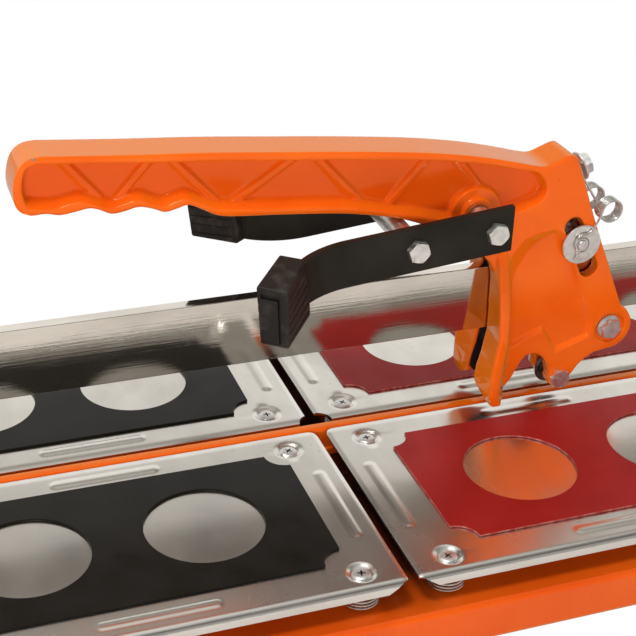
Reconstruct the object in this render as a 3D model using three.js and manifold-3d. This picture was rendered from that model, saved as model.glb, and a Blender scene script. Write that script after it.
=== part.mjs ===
// Manual tile cutter: one upright flat rail over a long base, a cast handle with a scoring wheel,
// a breaker yoke with two rubber pads, and four sprung tables on either side of a breaker ridge.
// Millimetres. +X runs along the rail, +Z is up, and the origin is the bottom centre of the base.
import * as THREE from 'three';
import { mergeVertices } from 'three/addons/utils/BufferGeometryUtils.js';
import Module from 'manifold-3d';

const wasm = await Module();
wasm.setup();

// ---------------------------------------------------------------- driving dimensions
const GAP = 0.3; // clearance left between touching pieces
const FOOT_HEIGHT = 10;
const BASE_LENGTH = 1000;
const BASE_WIDTH = 296;
const BASE_TOP = 33.5;
const SHEET = 2;
const RETURN_FLANGE = 36; // width of the base's inturned bottom edge, which carries the feet
const RIDGE_TOP = 50;
const RIDGE_WIDTH = 8;
const RAIL_BOTTOM = 98.9;
const RAIL_TOP = 136.6;
const RAIL_THICK = 7.3;
const RAIL_LENGTH = 1000;
const POST_LENGTH = 42;
const POST_WIDTH = 30;
const POST_TOP = 137;

const TABLE_LENGTH = 425;
const TABLE_GAP = 5.6; // between the left and right tables
const TABLE_INNER = 6.6; // |y| of the edge beside the ridge
const TABLE_OUTER = 140.5;
const TABLE_TOP = 50.6;
const TABLE_SHEET = 1.6;
const TABLE_LIP = 6.2; // depth of the folded outer lip
const MAT_THICK = 1.2;
const MAT_INNER = 23;
const MAT_OUTER = 119.6;
const MAT_END = 29; // mean distance of a mat's end from the middle of the tool
const MAT_SHIFT = { front_left: -2.6, front_right: 2.9, rear_left: 0, rear_right: 0 }; // hand-laid mats
const MAT_NOTCH = 11; // radius of the scalloped corners
const HOLE_RADIUS = 30;
const HOLE_PITCH = 86.4;
const HOLE_COUNT = 4;
const SPRING_RADIUS = 9.6;
const SPRING_BORE = 7.6;
const SCREW_INSET = 19.6; // screw centre from the table's end
const SCREW_INNER = 19;
const SCREW_OUTER = 127.6;

const HEAD_HALF = 12; // half thickness of the cast handle and head
const CHEEK_INNER = 4.3; // half width of the slot that straddles the rail
const FULCRUM = { x: 171, z: 91.35 }; // axle of the roller under the rail
const PIN = { x: 144.7, z: 147.65 }; // axle of the roller on top of the rail
const WHEEL = { x: 141.5, z: 64 }; // axle of the scoring wheel
const ANCHOR = { x: 143, z: 187 }; // screw that holds the torsion spring
const YOKE_PIVOT = { x: 82, z: 171.4 };
const YOKE_STOP = { x: 38.6, z: 167.2 };
const UPPER_ROLLER = 11;
const LOWER_ROLLER = 7.5;
const WHEEL_RADIUS = 9;
const PIN_WASHER = 11.3;
const HANDLE_SLOPE = -0.1; // rise of the handle's top line per mm of x
const GRIP_END = -157;
const GROOVE_PITCH = 25.5;
const FIRST_GROOVE = -135.2; // x of the first crest between two finger grooves
const GROOVE_DEPTH = 3;

const ARM_FACE = 33; // |y| of the arms' outer faces
const ARM_THICK = 4;
const ARM_HEIGHT = 25;
const ARM_BEND = 51 * Math.PI / 180; // how far the arm's end turns outward
const BEND_RADIUS = 42;
const PAD = { x: -39.4, y: 57.1, z: 162, length: 30.9, width: 14.4, height: 32.6 };

const FENCE_X = 446;
const STOP_Y = -86;

// ---------------------------------------------------------------- finishes
const finish = (color, roughness, metalness) => ({ color, roughness, metalness });
const ORANGE = finish(0xf0621e, 0.3, 0.0);
const STEEL = finish(0xc9c4ba, 0.32, 0.9);
const CHROME = finish(0xd8d6d0, 0.15, 1.0);
const BLACK_STEEL = finish(0x26231f, 0.45, 0.3);
const RUBBER = finish(0x2b2825, 0.75, 0.0);
const BLACK_MAT = finish(0x2d2824, 0.7, 0.0);
const RED_MAT = finish(0xa81f1c, 0.6, 0.0);
const CARBIDE = finish(0x4a4a48, 0.3, 0.9);
const ALUMINIUM = finish(0xbfc2c4, 0.4, 0.8);

// ---------------------------------------------------------------- solids
function solid(geometry) {
  const bare = geometry.clone();
  bare.deleteAttribute('normal');
  bare.deleteAttribute('uv');
  const merged = mergeVertices(bare, 1e-4);
  const vertProperties = new Float32Array(merged.attributes.position.array);
  const triVerts = new Uint32Array(merged.index.array);
  return new wasm.Manifold(new wasm.Mesh({ numProp: 3, vertProperties, triVerts }));
}

function geometryOf(manifold) {
  const data = manifold.getMesh();
  const geometry = new THREE.BufferGeometry();
  geometry.setAttribute('position', new THREE.BufferAttribute(new Float32Array(data.vertProperties), 3));
  geometry.setIndex(new THREE.BufferAttribute(new Uint32Array(data.triVerts), 1));
  geometry.computeVertexNormals();
  return geometry;
}

function block(x0, x1, y0, y1, z0, z1) {
  const geometry = new THREE.BoxGeometry(x1 - x0, y1 - y0, z1 - z0);
  return geometry.translate((x0 + x1) / 2, (y0 + y1) / 2, (z0 + z1) / 2);
}

// A solid of revolution about an axis parallel to Y, from [radius, y] pairs that end on the axis.
function turned(profile, x, z, sides = 20) {
  const points = profile.map(([radius, y]) => new THREE.Vector2(radius, y));
  return new THREE.LatheGeometry(points, sides).translate(x, 0, z);
}

function rod(radius, y0, y1, x, z, sides = 20) {
  return turned([[0, y0], [radius, y0], [radius, y1], [0, y1]], x, z, sides);
}

function upright(radius, z0, z1, x, y, sides = 20) {
  const geometry = new THREE.CylinderGeometry(radius, radius, z1 - z0, sides);
  return geometry.rotateX(Math.PI / 2).translate(x, y, (z0 + z1) / 2);
}

// An outline in the X-Z plane, extruded from y0 to y1.
function sidePlate(points, y0, y1) {
  const shape = new THREE.Shape(points.map(([x, z]) => new THREE.Vector2(x, z)));
  const geometry = new THREE.ExtrudeGeometry(shape, { depth: y1 - y0, bevelEnabled: false });
  return geometry.rotateX(Math.PI / 2).translate(0, y1, 0);
}

// An outline in the X-Y plane, extruded from z0 to z1.
function flatPlate(points, z0, z1, holes = []) {
  const shape = new THREE.Shape(points.map(([x, y]) => new THREE.Vector2(x, y)));
  for (const hole of holes) shape.holes.push(new THREE.Path(hole.map(([x, y]) => new THREE.Vector2(x, y))));
  const geometry = new THREE.ExtrudeGeometry(shape, { depth: z1 - z0, bevelEnabled: false });
  return geometry.translate(0, 0, z0);
}

function arc(cx, cy, radius, from, to, steps) {
  const points = [];
  for (let i = 0; i <= steps; i++) {
    const angle = (from + (to - from) * i / steps) * Math.PI / 180;
    points.push([cx + radius * Math.cos(angle), cy + radius * Math.sin(angle)]);
  }
  return points;
}

const group = new THREE.Group();

function add(name, geometry, look, parent = group) {
  const shape = geometry instanceof THREE.BufferGeometry ? geometry : geometryOf(geometry);
  const mesh = new THREE.Mesh(shape, new THREE.MeshStandardMaterial(look));
  mesh.name = name;
  parent.add(mesh);
  return mesh;
}

// ---------------------------------------------------------------- base
function baseTray() {
  const halfLength = BASE_LENGTH / 2;
  const halfWidth = BASE_WIDTH / 2;
  const outer = solid(block(-halfLength, halfLength, -halfWidth, halfWidth, FOOT_HEIGHT, BASE_TOP));
  const hollow = solid(block(
    -halfLength + SHEET, halfLength - SHEET, -halfWidth + SHEET, halfWidth - SHEET,
    FOOT_HEIGHT + SHEET, BASE_TOP - SHEET));
  const [openX, openY] = [halfLength - SHEET, halfWidth - RETURN_FLANGE];
  const mouth = solid(block(-openX, openX, -openY, openY, 0, FOOT_HEIGHT + SHEET + 1));
  return outer.subtract(hollow).subtract(mouth);
}

function breakerRidge() {
  const half = RIDGE_WIDTH / 2;
  const halfLength = BASE_LENGTH / 2 - POST_LENGTH - 14;
  const rib = solid(block(-halfLength, halfLength, -half, half, BASE_TOP + GAP, RIDGE_TOP));
  const flange = solid(block(-halfLength, halfLength, -5.6, 5.6, BASE_TOP + GAP, BASE_TOP + 4));
  return rib.add(flange);
}

function railPost(side) {
  const outer = side * (BASE_LENGTH / 2 - 6);
  const inner = outer - side * POST_LENGTH;
  const [x0, x1] = [Math.min(outer, inner), Math.max(outer, inner)];
  const mid = (x0 + x1) / 2;
  const half = POST_WIDTH / 2;
  const foot = solid(block(x0 - 6, x1 + 6, -half - 16, half + 16, BASE_TOP + GAP, BASE_TOP + 6));
  const column = solid(block(x0, x1, -half, half, BASE_TOP + 2, POST_TOP));
  const slotHalf = RAIL_THICK / 2 + GAP;
  const slot = solid(block(x0 - 8, x1 + 8, -slotHalf, slotHalf, RAIL_BOTTOM - GAP, POST_TOP + 5));
  const hole = solid(rod(4, -half - 1, half + 1, mid, 118));
  return foot.add(column).subtract(slot).subtract(hole);
}

function rail() {
  const half = RAIL_THICK / 2;
  const bar = solid(block(-RAIL_LENGTH / 2 + 2, RAIL_LENGTH / 2 - 2, -half, half, RAIL_BOTTOM, RAIL_TOP));
  const reach = BASE_LENGTH / 2 - 6 - POST_LENGTH / 2;
  return bar.subtract(solid(rod(4, -9, 9, -reach, 118))).subtract(solid(rod(4, -9, 9, reach, 118)));
}

function railBolt(side) {
  const x = side * (BASE_LENGTH / 2 - 6 - POST_LENGTH / 2);
  const face = POST_WIDTH / 2 + GAP;
  const shank = solid(rod(3.6, -face - 1, face + 1, x, 118));
  const head = solid(rod(7, -face - 5, -face, x, 118, 6));
  const nut = solid(rod(7, face, face + 6, x, 118, 6));
  return shank.add(head).add(nut);
}

function foot(x, y) {
  const points = [[0, 0], [11, 0], [13, 1.5], [13, FOOT_HEIGHT - GAP], [0, FOOT_HEIGHT - GAP]];
  const profile = points.map(([radius, z]) => new THREE.Vector2(radius, z));
  return new THREE.LatheGeometry(profile, 20).rotateX(Math.PI / 2).translate(x, y, 0);
}

// ---------------------------------------------------------------- tables
// Tables are made for the +x, +y quarter and mirrored by their corner signs.
function placed(points, sx, sy) {
  const moved = points.map(([x, y]) => [x * sx, y * sy]);
  return sx * sy < 0 ? moved.reverse() : moved;
}

function tableOutline() {
  const x0 = TABLE_GAP / 2;
  const x1 = x0 + TABLE_LENGTH;
  return [
    [x0 + 4, TABLE_INNER], [x1 - 4, TABLE_INNER], [x1, TABLE_INNER + 4],
    [x1, TABLE_OUTER - 4], [x1 - 4, TABLE_OUTER], [x0 + 4, TABLE_OUTER],
    [x0, TABLE_OUTER - 4], [x0, TABLE_INNER + 4],
  ];
}

function screwSpots() {
  const x0 = TABLE_GAP / 2;
  const spots = [];
  for (const x of [x0 + SCREW_INSET, x0 + TABLE_LENGTH - SCREW_INSET]) {
    for (const y of [SCREW_INNER, SCREW_OUTER]) spots.push([x, y]);
  }
  return spots;
}

function table(sx, sy) {
  const holes = screwSpots().map(([x, y]) => placed(arc(x, y, 3.4, 0, 330, 11), sx, sy));
  const sheet = solid(flatPlate(placed(tableOutline(), sx, sy), TABLE_TOP - TABLE_SHEET, TABLE_TOP, holes));
  const x0 = TABLE_GAP / 2 + 7;
  const x1 = TABLE_GAP / 2 + TABLE_LENGTH - 7;
  const lip = placed([[x0, TABLE_OUTER - TABLE_SHEET], [x1, TABLE_OUTER - TABLE_SHEET],
    [x1, TABLE_OUTER], [x0, TABLE_OUTER]], sx, sy);
  return sheet.add(solid(flatPlate(lip, TABLE_TOP - TABLE_LIP, TABLE_TOP - 0.5)));
}

function mat(sx, sy, shift) {
  const length = 2 * (MAT_END + HOLE_PITCH / 3) + HOLE_PITCH * (HOLE_COUNT - 1) - 1.6;
  const x0 = MAT_END + shift;
  const x1 = x0 + length;
  const outline = [
    ...arc(x0, MAT_INNER, MAT_NOTCH, 90, 0, 5), ...arc(x1, MAT_INNER, MAT_NOTCH, 180, 90, 5),
    ...arc(x1, MAT_OUTER, MAT_NOTCH, 270, 180, 5), ...arc(x0, MAT_OUTER, MAT_NOTCH, 0, -90, 5),
  ];
  const middle = (MAT_INNER + MAT_OUTER) / 2;
  const holes = [];
  for (let i = 0; i < HOLE_COUNT; i++) {
    const x = x0 + (length - HOLE_PITCH * (HOLE_COUNT - 1)) / 2 + i * HOLE_PITCH;
    holes.push(placed(arc(x, middle, HOLE_RADIUS, 0, 350, 35), sx, sy));
  }
  const floor = TABLE_TOP + GAP / 2;
  return solid(flatPlate(placed(outline, sx, sy), floor, floor + MAT_THICK, holes));
}

function tableSpring(x, y) {
  const z0 = BASE_TOP + GAP;
  const z1 = TABLE_TOP - TABLE_SHEET - GAP;
  const tube = solid(upright(SPRING_RADIUS, z0, z1, x, y, 16));
  return tube.subtract(solid(upright(SPRING_BORE, z0 - 1, z1 + 1, x, y, 16)));
}

// ---------------------------------------------------------------- cast handle and head
const gripLine = (x) => 198 - 0.085 * (x - FIRST_GROOVE);
const topLine = (x) => 228.2 + HANDLE_SLOPE * (x + 150);
const wave = (x) => (1 - Math.cos(2 * Math.PI * (x - FIRST_GROOVE) / GROOVE_PITCH)) / 2;
const groove = (x) => gripLine(x) + GROOVE_DEPTH * wave(x);

function castingOutline() {
  const points = [];
  for (let x = -148; x <= -70; x += 3.9) points.push([x, groove(x)]);
  points.push([-64, 191.6], [-58.5, 188.4], [-27, 185.3], [2.4, 182.3], [17.6, 179.8], [33, 176.4]);
  points.push([44, 173.6], [56, 168], [72, 159], [86, 148.5]);
  points.push([94, 140], [96.5, 131], [96.8, 97], [91.6, 70]);
  points.push([95.5, 61], [98, 58.6], [104.5, 58.6], [107, 62]);
  points.push([120.5, 82.2], [127, 82.4], [130.6, 79], [135, 66]);
  points.push(...arc(WHEEL.x, WHEEL.z, 6.2, 190, 345, 6));
  points.push([150.5, 66], [157.5, 75.2], [165, 78.4]);
  points.push(...arc(FULCRUM.x, FULCRUM.z, 13.8, -85, 55, 9));
  points.push([174.6, 107.5], [158.4, 144.8], [144.9, 178.5], [138, 197.4]);
  points.push([134.5, 200.4], [119.5, 195.2], [116, 195.6], [92, 201.3], [62, topLine(62)]);
  points.push([-150, topLine(-150)], [-155.4, 225], [GRIP_END, 219.5], [GRIP_END + 0.6, 205], [-153.6, 201]);
  return points;
}

// The front leg spreads outward toward its toe on both sides.
function toeFlare(side) {
  const outline = [[91.8, 70], [96.5, 128], [112, 128], [118, 79.5],
    [107, 62], [104.5, 58.6], [98, 58.6], [95.5, 61]];
  const geometry = sidePlate(outline, 0, 1);
  const position = geometry.attributes.position;
  for (let i = 0; i < position.count; i++) {
    const spread = Math.min(1, Math.max(0, (128 - position.getZ(i)) / 60));
    const front = Math.min(1, Math.max(0, (118 - position.getX(i)) / 20));
    const outside = HEAD_HALF - 1.5 + 12.5 * spread * front;
    position.setY(i, position.getY(i) > 0.5 ? (side > 0 ? outside : -7) : (side > 0 ? 7 : -outside));
  }
  return solid(geometry);
}

function obround(length0, length1, half) {
  const dx = (PIN.x - FULCRUM.x);
  const dz = (PIN.z - FULCRUM.z);
  const reach = Math.hypot(dx, dz);
  const tilt = Math.atan2(dz, dx) * 180 / Math.PI;
  const at = (r) => [FULCRUM.x + dx / reach * r, FULCRUM.z + dz / reach * r];
  return [
    ...arc(...at(length1), half, tilt - 90, tilt + 90, 7),
    ...arc(...at(length0), half, tilt + 90, tilt + 270, 7),
  ];
}

function handleCasting() {
  const wide = HEAD_HALF;
  let body = solid(sidePlate(castingOutline(), -wide, wide));
  body = body.add(toeFlare(1)).add(toeFlare(-1));
  const slot = solid(block(60, 195, -CHEEK_INNER, CHEEK_INNER, 40, 168));
  body = body.subtract(slot);
  for (const side of [-1, 1]) {
    const [y0, y1] = side < 0 ? [-wide - 1, -4.5] : [4.5, wide + 1];
    const grip = [[-150, 205], [-150, 223.8], [60, 204.2], [92, 197.4], [113, 192.6], [118, 187.6], [120.5, 182],
      [119, 176], [111, 172.4], [98, 170], [60, 173], [32, 180], [4, 186.4], [-57, 191.6], [-72, 200]];
    body = body.subtract(solid(sidePlate(grip.reverse(), y0, y1)));
    const panel = [[154, 97], [134, 148], [128, 154], [116, 154], [112, 93], [127.7, 97], [137, 83]];
    const [p0, p1] = side < 0 ? [-wide - 1, -wide + 1.6] : [wide - 1.6, wide + 1];
    body = body.subtract(solid(sidePlate(panel.reverse(), p0, p1)));
  }
  body = body.add(solid(rod(9.3, -wide, wide, YOKE_PIVOT.x, YOKE_PIVOT.z, 24)));
  body = body.subtract(solid(rod(6.1, -20, 20, YOKE_PIVOT.x, YOKE_PIVOT.z, 20)));
  body = body.subtract(solid(sidePlate(obround(44.5, 73.7, 5.3), -20, 20)));
  body = body.subtract(solid(rod(3.4, -20, 20, FULCRUM.x, FULCRUM.z)));
  body = body.subtract(solid(rod(3.4, -20, 20, WHEEL.x, WHEEL.z, 16)));
  body = body.subtract(anchorTurned(3 + GAP, -9.5, 3, 14)).subtract(anchorTurned(9, 1.2 - GAP, 12, 20));
  return body.subtract(slot);
}

// A disc or shank about the anchor bolt's axis, which stands square on the head's back face.
function anchorTurned(radius, low, high, sides) {
  const normal = new THREE.Vector3(0.936, 0, 0.352);
  const turn = new THREE.Quaternion().setFromUnitVectors(new THREE.Vector3(0, 1, 0), normal);
  const shape = new THREE.CylinderGeometry(radius, radius, high - low, sides).translate(0, (low + high) / 2, 0);
  return solid(shape.applyQuaternion(turn).translate(ANCHOR.x, 0, ANCHOR.z));
}

// A bolt with a hexagon head on the near side and a nut on the far side.
function crossBolt(at, face, shank, head, thick, washer) {
  let bolt = solid(rod(shank, -face - 1, face + 1, at.x, at.z, 16));
  bolt = bolt.add(solid(rod(head, -face - thick, -face, at.x, at.z, 6)));
  bolt = bolt.add(solid(rod(head, face, face + thick, at.x, at.z, 6)));
  if (washer) {
    bolt = bolt.add(solid(rod(washer, -face - 1, -face, at.x, at.z, 18)));
    bolt = bolt.add(solid(rod(washer, face, face + 1, at.x, at.z, 18)));
  }
  return bolt;
}

function roller(at, outer, bore, half) {
  const ring = solid(rod(outer, -half, half, at.x, at.z, 28));
  return ring.subtract(solid(rod(bore, -half - 1, half + 1, at.x, at.z, 18)));
}

function scoringWheel() {
  const rim = turned([[0, -1.5], [WHEEL_RADIUS - 1.4, -1.5], [WHEEL_RADIUS, -0.1], [WHEEL_RADIUS, 0.1],
    [WHEEL_RADIUS - 1.4, 1.5], [0, 1.5]], WHEEL.x, WHEEL.z, 28);
  return solid(rim).subtract(solid(rod(3.4, -3, 3, WHEEL.x, WHEEL.z, 16)));
}

function wheelSpacer(side) {
  const [y0, y1] = side < 0 ? [-CHEEK_INNER + 0.2, -1.8] : [1.8, CHEEK_INNER - 0.2];
  const ring = solid(rod(5.4, y0, y1, WHEEL.x, WHEEL.z, 18));
  return ring.subtract(solid(rod(3.4, y0 - 1, y1 + 1, WHEEL.x, WHEEL.z, 16)));
}

function pinWasher(side) {
  const [y0, y1] = side < 0 ? [-14, -12.5] : [12.5, 14];
  const disc = solid(rod(PIN_WASHER, y0, y1, PIN.x, PIN.z, 28));
  return disc.subtract(solid(rod(4.3, y0 - 1, y1 + 1, PIN.x, PIN.z, 18)));
}

function upperPin() {
  const shank = solid(rod(4, -15, 15, PIN.x, PIN.z, 18));
  const head = solid(rod(5.2, -17, -14.3, PIN.x, PIN.z, 18));
  const tail = solid(rod(5.2, 14.3, 17, PIN.x, PIN.z, 18));
  return shank.add(head).add(tail);
}

// ---------------------------------------------------------------- torsion spring
function wire(points, radius, steps) {
  const path = new THREE.CatmullRomCurve3(points.map((p) => new THREE.Vector3(...p)), false, 'centripetal');
  const section = new THREE.Shape(arc(0, 0, radius, 0, 300, 5).map(([x, y]) => new THREE.Vector2(x, y)));
  return solid(new THREE.ExtrudeGeometry(section, { steps, extrudePath: path, bevelEnabled: false }));
}

const COIL = { x: 162.4, z: 165.4, y: 9.4, radius: 8.4, half: 4 };

function springCoil(side) {
  const [y0, y1] = [side * COIL.y - COIL.half, side * COIL.y + COIL.half];
  const coil = solid(rod(COIL.radius, y0, y1, COIL.x, COIL.z, 20));
  return coil.subtract(solid(rod(COIL.radius - 1.7, y0 - 1, y1 + 1, COIL.x, COIL.z, 20)));
}

function torsionSpring() {
  const bridge = wire([[155.5, -6.2, 170.6], [153.4, -5, 180], [151.8, -3, 186.2], [151.8, 3, 186.2],
    [153.4, 5, 180], [155.5, 6.2, 170.6]], 0.9, 24);
  let spring = bridge.add(springCoil(-1)).add(springCoil(1));
  for (const side of [-1, 1]) {
    const leg = wire([[155.2, side * 12.4, 164.2], [153.6, side * 14.4, 161.4], [151.6, side * 15.6, 158.4],
      [149.4, side * 15.6, 155.6], [147.2, side * 15.6, 154.4]], 0.9, 12);
    spring = spring.add(leg);
  }
  return spring;
}

function anchorBolt() {
  const washer = anchorTurned(8, 1.2, 2.4, 20);
  return washer.add(anchorTurned(5.8, 2.2, 6.6, 6)).add(anchorTurned(3, -9, 3, 14));
}

// ---------------------------------------------------------------- breaker yoke
const armRise = (YOKE_PIVOT.z - YOKE_STOP.z) / (YOKE_PIVOT.x - YOKE_STOP.x);

// The arm's middle line in plan: straight, then an arc outward, then straight into the pad.
function armPath() {
  const y = ARM_FACE - ARM_THICK / 2;
  const end = [PAD.x + PAD.length * 0.1 * Math.cos(ARM_BEND), PAD.y - PAD.length * 0.1 * Math.sin(ARM_BEND)];
  const rise = BEND_RADIUS * (1 - Math.cos(ARM_BEND));
  const straight = (end[1] - y - rise) / Math.sin(ARM_BEND);
  const bendEnd = [end[0] + straight * Math.cos(ARM_BEND), y + rise];
  const bendStart = [bendEnd[0] + BEND_RADIUS * Math.sin(ARM_BEND), y];
  const points = [[YOKE_PIVOT.x + 9.4, y], bendStart];
  for (let i = 1; i <= 8; i++) {
    const a = ARM_BEND * i / 8;
    points.push([bendStart[0] - BEND_RADIUS * Math.sin(a), y + BEND_RADIUS * (1 - Math.cos(a))]);
  }
  points.push(end);
  return points;
}

function armOutline(path, half) {
  const left = [];
  const right = [];
  for (let i = 0; i < path.length; i++) {
    const a = path[Math.max(0, i - 1)];
    const b = path[Math.min(path.length - 1, i + 1)];
    const length = Math.hypot(b[0] - a[0], b[1] - a[1]);
    const normal = [-(b[1] - a[1]) / length, (b[0] - a[0]) / length];
    left.push([path[i][0] + normal[0] * half, path[i][1] + normal[1] * half]);
    right.unshift([path[i][0] - normal[0] * half, path[i][1] - normal[1] * half]);
  }
  return [...left, ...right];
}

// Shears a solid so that it rises along x with the arm, about the yoke's pivot.
function sheared(geometry) {
  const position = geometry.attributes.position;
  for (let i = 0; i < position.count; i++) {
    position.setZ(i, position.getZ(i) + armRise * (position.getX(i) - YOKE_PIVOT.x));
  }
  return geometry;
}

function breakerArm(side) {
  const outline = armOutline(armPath(), ARM_THICK / 2).map(([x, y]) => [x, y * side]);
  const shape = side < 0 ? outline : outline.reverse();
  const bar = flatPlate(shape, YOKE_PIVOT.z - ARM_HEIGHT / 2, YOKE_PIVOT.z + ARM_HEIGHT / 2);
  let arm = solid(sheared(bar));
  for (const at of [YOKE_PIVOT, YOKE_STOP]) {
    arm = arm.subtract(solid(rod(3.4, side * 25 - 15, side * 35 + 15, at.x, at.z, 16)));
  }
  return arm;
}

function padBox(length, width, height, side) {
  const shape = new THREE.BoxGeometry(length, width, height);
  return shape.rotateZ(-ARM_BEND * side).translate(PAD.x, side * PAD.y, PAD.z);
}

function breakerPad(side) {
  const boot = solid(padBox(PAD.length, PAD.width, PAD.height, side));
  const outline = armOutline(armPath(), ARM_THICK / 2 + GAP);
  const last = outline.length / 2;
  const reach = 6;
  for (const i of [last - 1, last]) {
    outline[i][0] -= reach * Math.cos(ARM_BEND);
    outline[i][1] += reach * Math.sin(ARM_BEND);
  }
  const mirrored = outline.map(([x, y]) => [x, y * side]);
  const half = ARM_HEIGHT / 2 + GAP;
  const pocket = flatPlate(side < 0 ? mirrored : mirrored.reverse(), YOKE_PIVOT.z - half, YOKE_PIVOT.z + half);
  return boot.subtract(solid(sheared(pocket)));
}

function yokeTube(at) {
  const end = ARM_FACE - ARM_THICK - GAP;
  const tube = solid(rod(5.75, -end, end, at.x, at.z, 20));
  return tube.subtract(solid(rod(3.5, -end - 1, end + 1, at.x, at.z, 16)));
}

// ---------------------------------------------------------------- fence
function fence() {
  const x = FENCE_X;
  const bar = solid(block(x, x + 3, -132, -21, TABLE_TOP - 8, TABLE_TOP + 16));
  const other = solid(block(x, x + 3, 21, 132, TABLE_TOP - 8, TABLE_TOP + 16));
  const shelf = solid(block(x, x + 12, -132, 132, BASE_TOP + GAP, BASE_TOP + 3));
  const risers = solid(block(x, x + 3, -132, -33, BASE_TOP + 1, TABLE_TOP));
  const others = solid(block(x, x + 3, 33, 132, BASE_TOP + 1, TABLE_TOP));
  const notch = solid(block(x - 5, x + 20, -33.4, 33.4, BASE_TOP - 1, BASE_TOP + 8));
  const bridge = solid(block(x, x + 3, -34, 34, TABLE_TOP - 8, TABLE_TOP - 2));
  return bar.add(other).add(shelf.subtract(notch)).add(risers).add(others).add(bridge);
}

function sideStop() {
  const [x, y, top] = [FENCE_X, STOP_Y, TABLE_TOP + 16];
  const outer = solid(block(x - 5, x + 13, y - 14, y + 14, TABLE_TOP + 2.4, top + 5));
  const channel = solid(block(x - GAP, x + 3 + GAP, y - 15, y + 15, 0, top + GAP));
  const arm = solid(block(x - 60, x - 4, y - 14, y - 10, TABLE_TOP + 2.4, top));
  const drill = new THREE.CylinderGeometry(3.4, 3.4, 30, 16).rotateZ(Math.PI / 2);
  const hole = solid(drill.translate(x + 18.8, y, top - 6));
  return outer.subtract(channel).add(arm).subtract(hole);
}

function stopKnob() {
  const [x, y, z] = [FENCE_X + 13 + GAP, STOP_Y, TABLE_TOP + 10];
  const profile = [[0, -9], [3, -9], [3, 0], [6, 0], [6, 4], [11, 4.5], [11, 12], [9, 14], [0, 14]];
  const points = profile.map(([radius, along]) => new THREE.Vector2(radius, along));
  return new THREE.LatheGeometry(points, 20).rotateZ(-Math.PI / 2).translate(x, y, z);
}

// ---------------------------------------------------------------- assembly
add('base_tray', baseTray(), ORANGE);
add('breaker_ridge', breakerRidge(), ORANGE);
add('rail', rail(), STEEL);
for (const [side, word] of [[-1, 'left'], [1, 'right']]) {
  add(`rail_post_${word}`, railPost(side), ORANGE);
  add(`rail_bolt_${word}`, railBolt(side), CHROME);
  for (const [row, place] of [[-1, 'front'], [1, 'rear']]) {
    add(`foot_${place}_${word}`, foot(side * (BASE_LENGTH / 2 - 34), row * (BASE_WIDTH / 2 - 22)), RUBBER);
    add(`table_${place}_${word}`, table(side, row), STEEL);
    const corner = `${place}_${word}`;
    add(`mat_${corner}`, mat(side, row, MAT_SHIFT[corner]), side < 0 ? BLACK_MAT : RED_MAT);
    screwSpots().forEach(([x, y], i) => {
      add(`spring_${place}_${word}_${i + 1}`, tableSpring(side * x, row * y), STEEL);
    });
  }
}

add('handle_casting', handleCasting(), ORANGE);
add('fulcrum_bolt', crossBolt(FULCRUM, HEAD_HALF + GAP, 2.9, 5.8, 4, 7.2), CHROME);
add('lower_roller', roller(FULCRUM, LOWER_ROLLER, 3.2, 2.5), STEEL);
add('upper_pin', upperPin(), CHROME);
add('upper_roller', roller(PIN, UPPER_ROLLER, 4.3, 3.5), STEEL);
add('pin_washer_front', pinWasher(-1), CHROME);
add('pin_washer_rear', pinWasher(1), CHROME);
add('wheel_bolt', crossBolt(WHEEL, HEAD_HALF + GAP, 3, 5.8, 4, 0), CHROME);
add('scoring_wheel', scoringWheel(), CARBIDE);
add('wheel_spacer_front', wheelSpacer(-1), STEEL);
add('wheel_spacer_rear', wheelSpacer(1), STEEL);
add('anchor_bolt', anchorBolt(), CHROME);
add('torsion_spring', torsionSpring(), STEEL);
for (const [side, word] of [[-1, 'front'], [1, 'rear']]) {
  add(`breaker_arm_${word}`, breakerArm(side), BLACK_STEEL);
  add(`breaker_pad_${word}`, breakerPad(side), RUBBER);
}
add('yoke_pivot_tube', yokeTube(YOKE_PIVOT), CHROME);
add('yoke_stop_tube', yokeTube(YOKE_STOP), CHROME);
add('yoke_pivot_bolt', crossBolt(YOKE_PIVOT, ARM_FACE + GAP, 3.1, 5.8, 4, 0), CHROME);
add('yoke_stop_bolt', crossBolt(YOKE_STOP, ARM_FACE + GAP, 3.1, 5.8, 4, 0), CHROME);
add('fence', fence(), ALUMINIUM);
add('side_stop', sideStop(), BLACK_STEEL);
add('stop_knob', stopKnob(), RUBBER);

export default group;
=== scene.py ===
"""Looks for a manual tile cutter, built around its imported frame.

Lengths are millimetres in the frame's axes (+X along the rail, +Z up) until build() makes metres of them.
"""

import math

import bmesh
import bpy
from mathutils import Matrix, Vector

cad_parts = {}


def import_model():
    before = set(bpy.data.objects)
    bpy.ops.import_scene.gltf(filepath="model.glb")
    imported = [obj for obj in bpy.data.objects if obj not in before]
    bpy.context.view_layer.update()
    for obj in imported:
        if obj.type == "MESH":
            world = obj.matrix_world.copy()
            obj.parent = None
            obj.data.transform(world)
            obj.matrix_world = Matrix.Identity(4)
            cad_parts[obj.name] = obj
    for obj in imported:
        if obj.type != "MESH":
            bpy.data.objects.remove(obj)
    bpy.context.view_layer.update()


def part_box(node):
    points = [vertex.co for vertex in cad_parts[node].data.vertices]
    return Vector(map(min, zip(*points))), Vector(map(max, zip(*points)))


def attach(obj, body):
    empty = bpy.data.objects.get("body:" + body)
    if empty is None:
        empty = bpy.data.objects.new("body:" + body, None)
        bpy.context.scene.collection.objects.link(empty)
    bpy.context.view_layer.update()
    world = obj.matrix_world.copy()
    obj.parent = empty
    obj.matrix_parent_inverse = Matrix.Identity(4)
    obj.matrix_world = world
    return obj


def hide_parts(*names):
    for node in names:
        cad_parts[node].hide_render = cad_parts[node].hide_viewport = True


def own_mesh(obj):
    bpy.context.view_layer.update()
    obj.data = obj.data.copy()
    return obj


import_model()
MM = 0.001
ROWS = (("front", -1), ("rear", 1))
ENDS = (("left", -1), ("right", 1))


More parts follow.
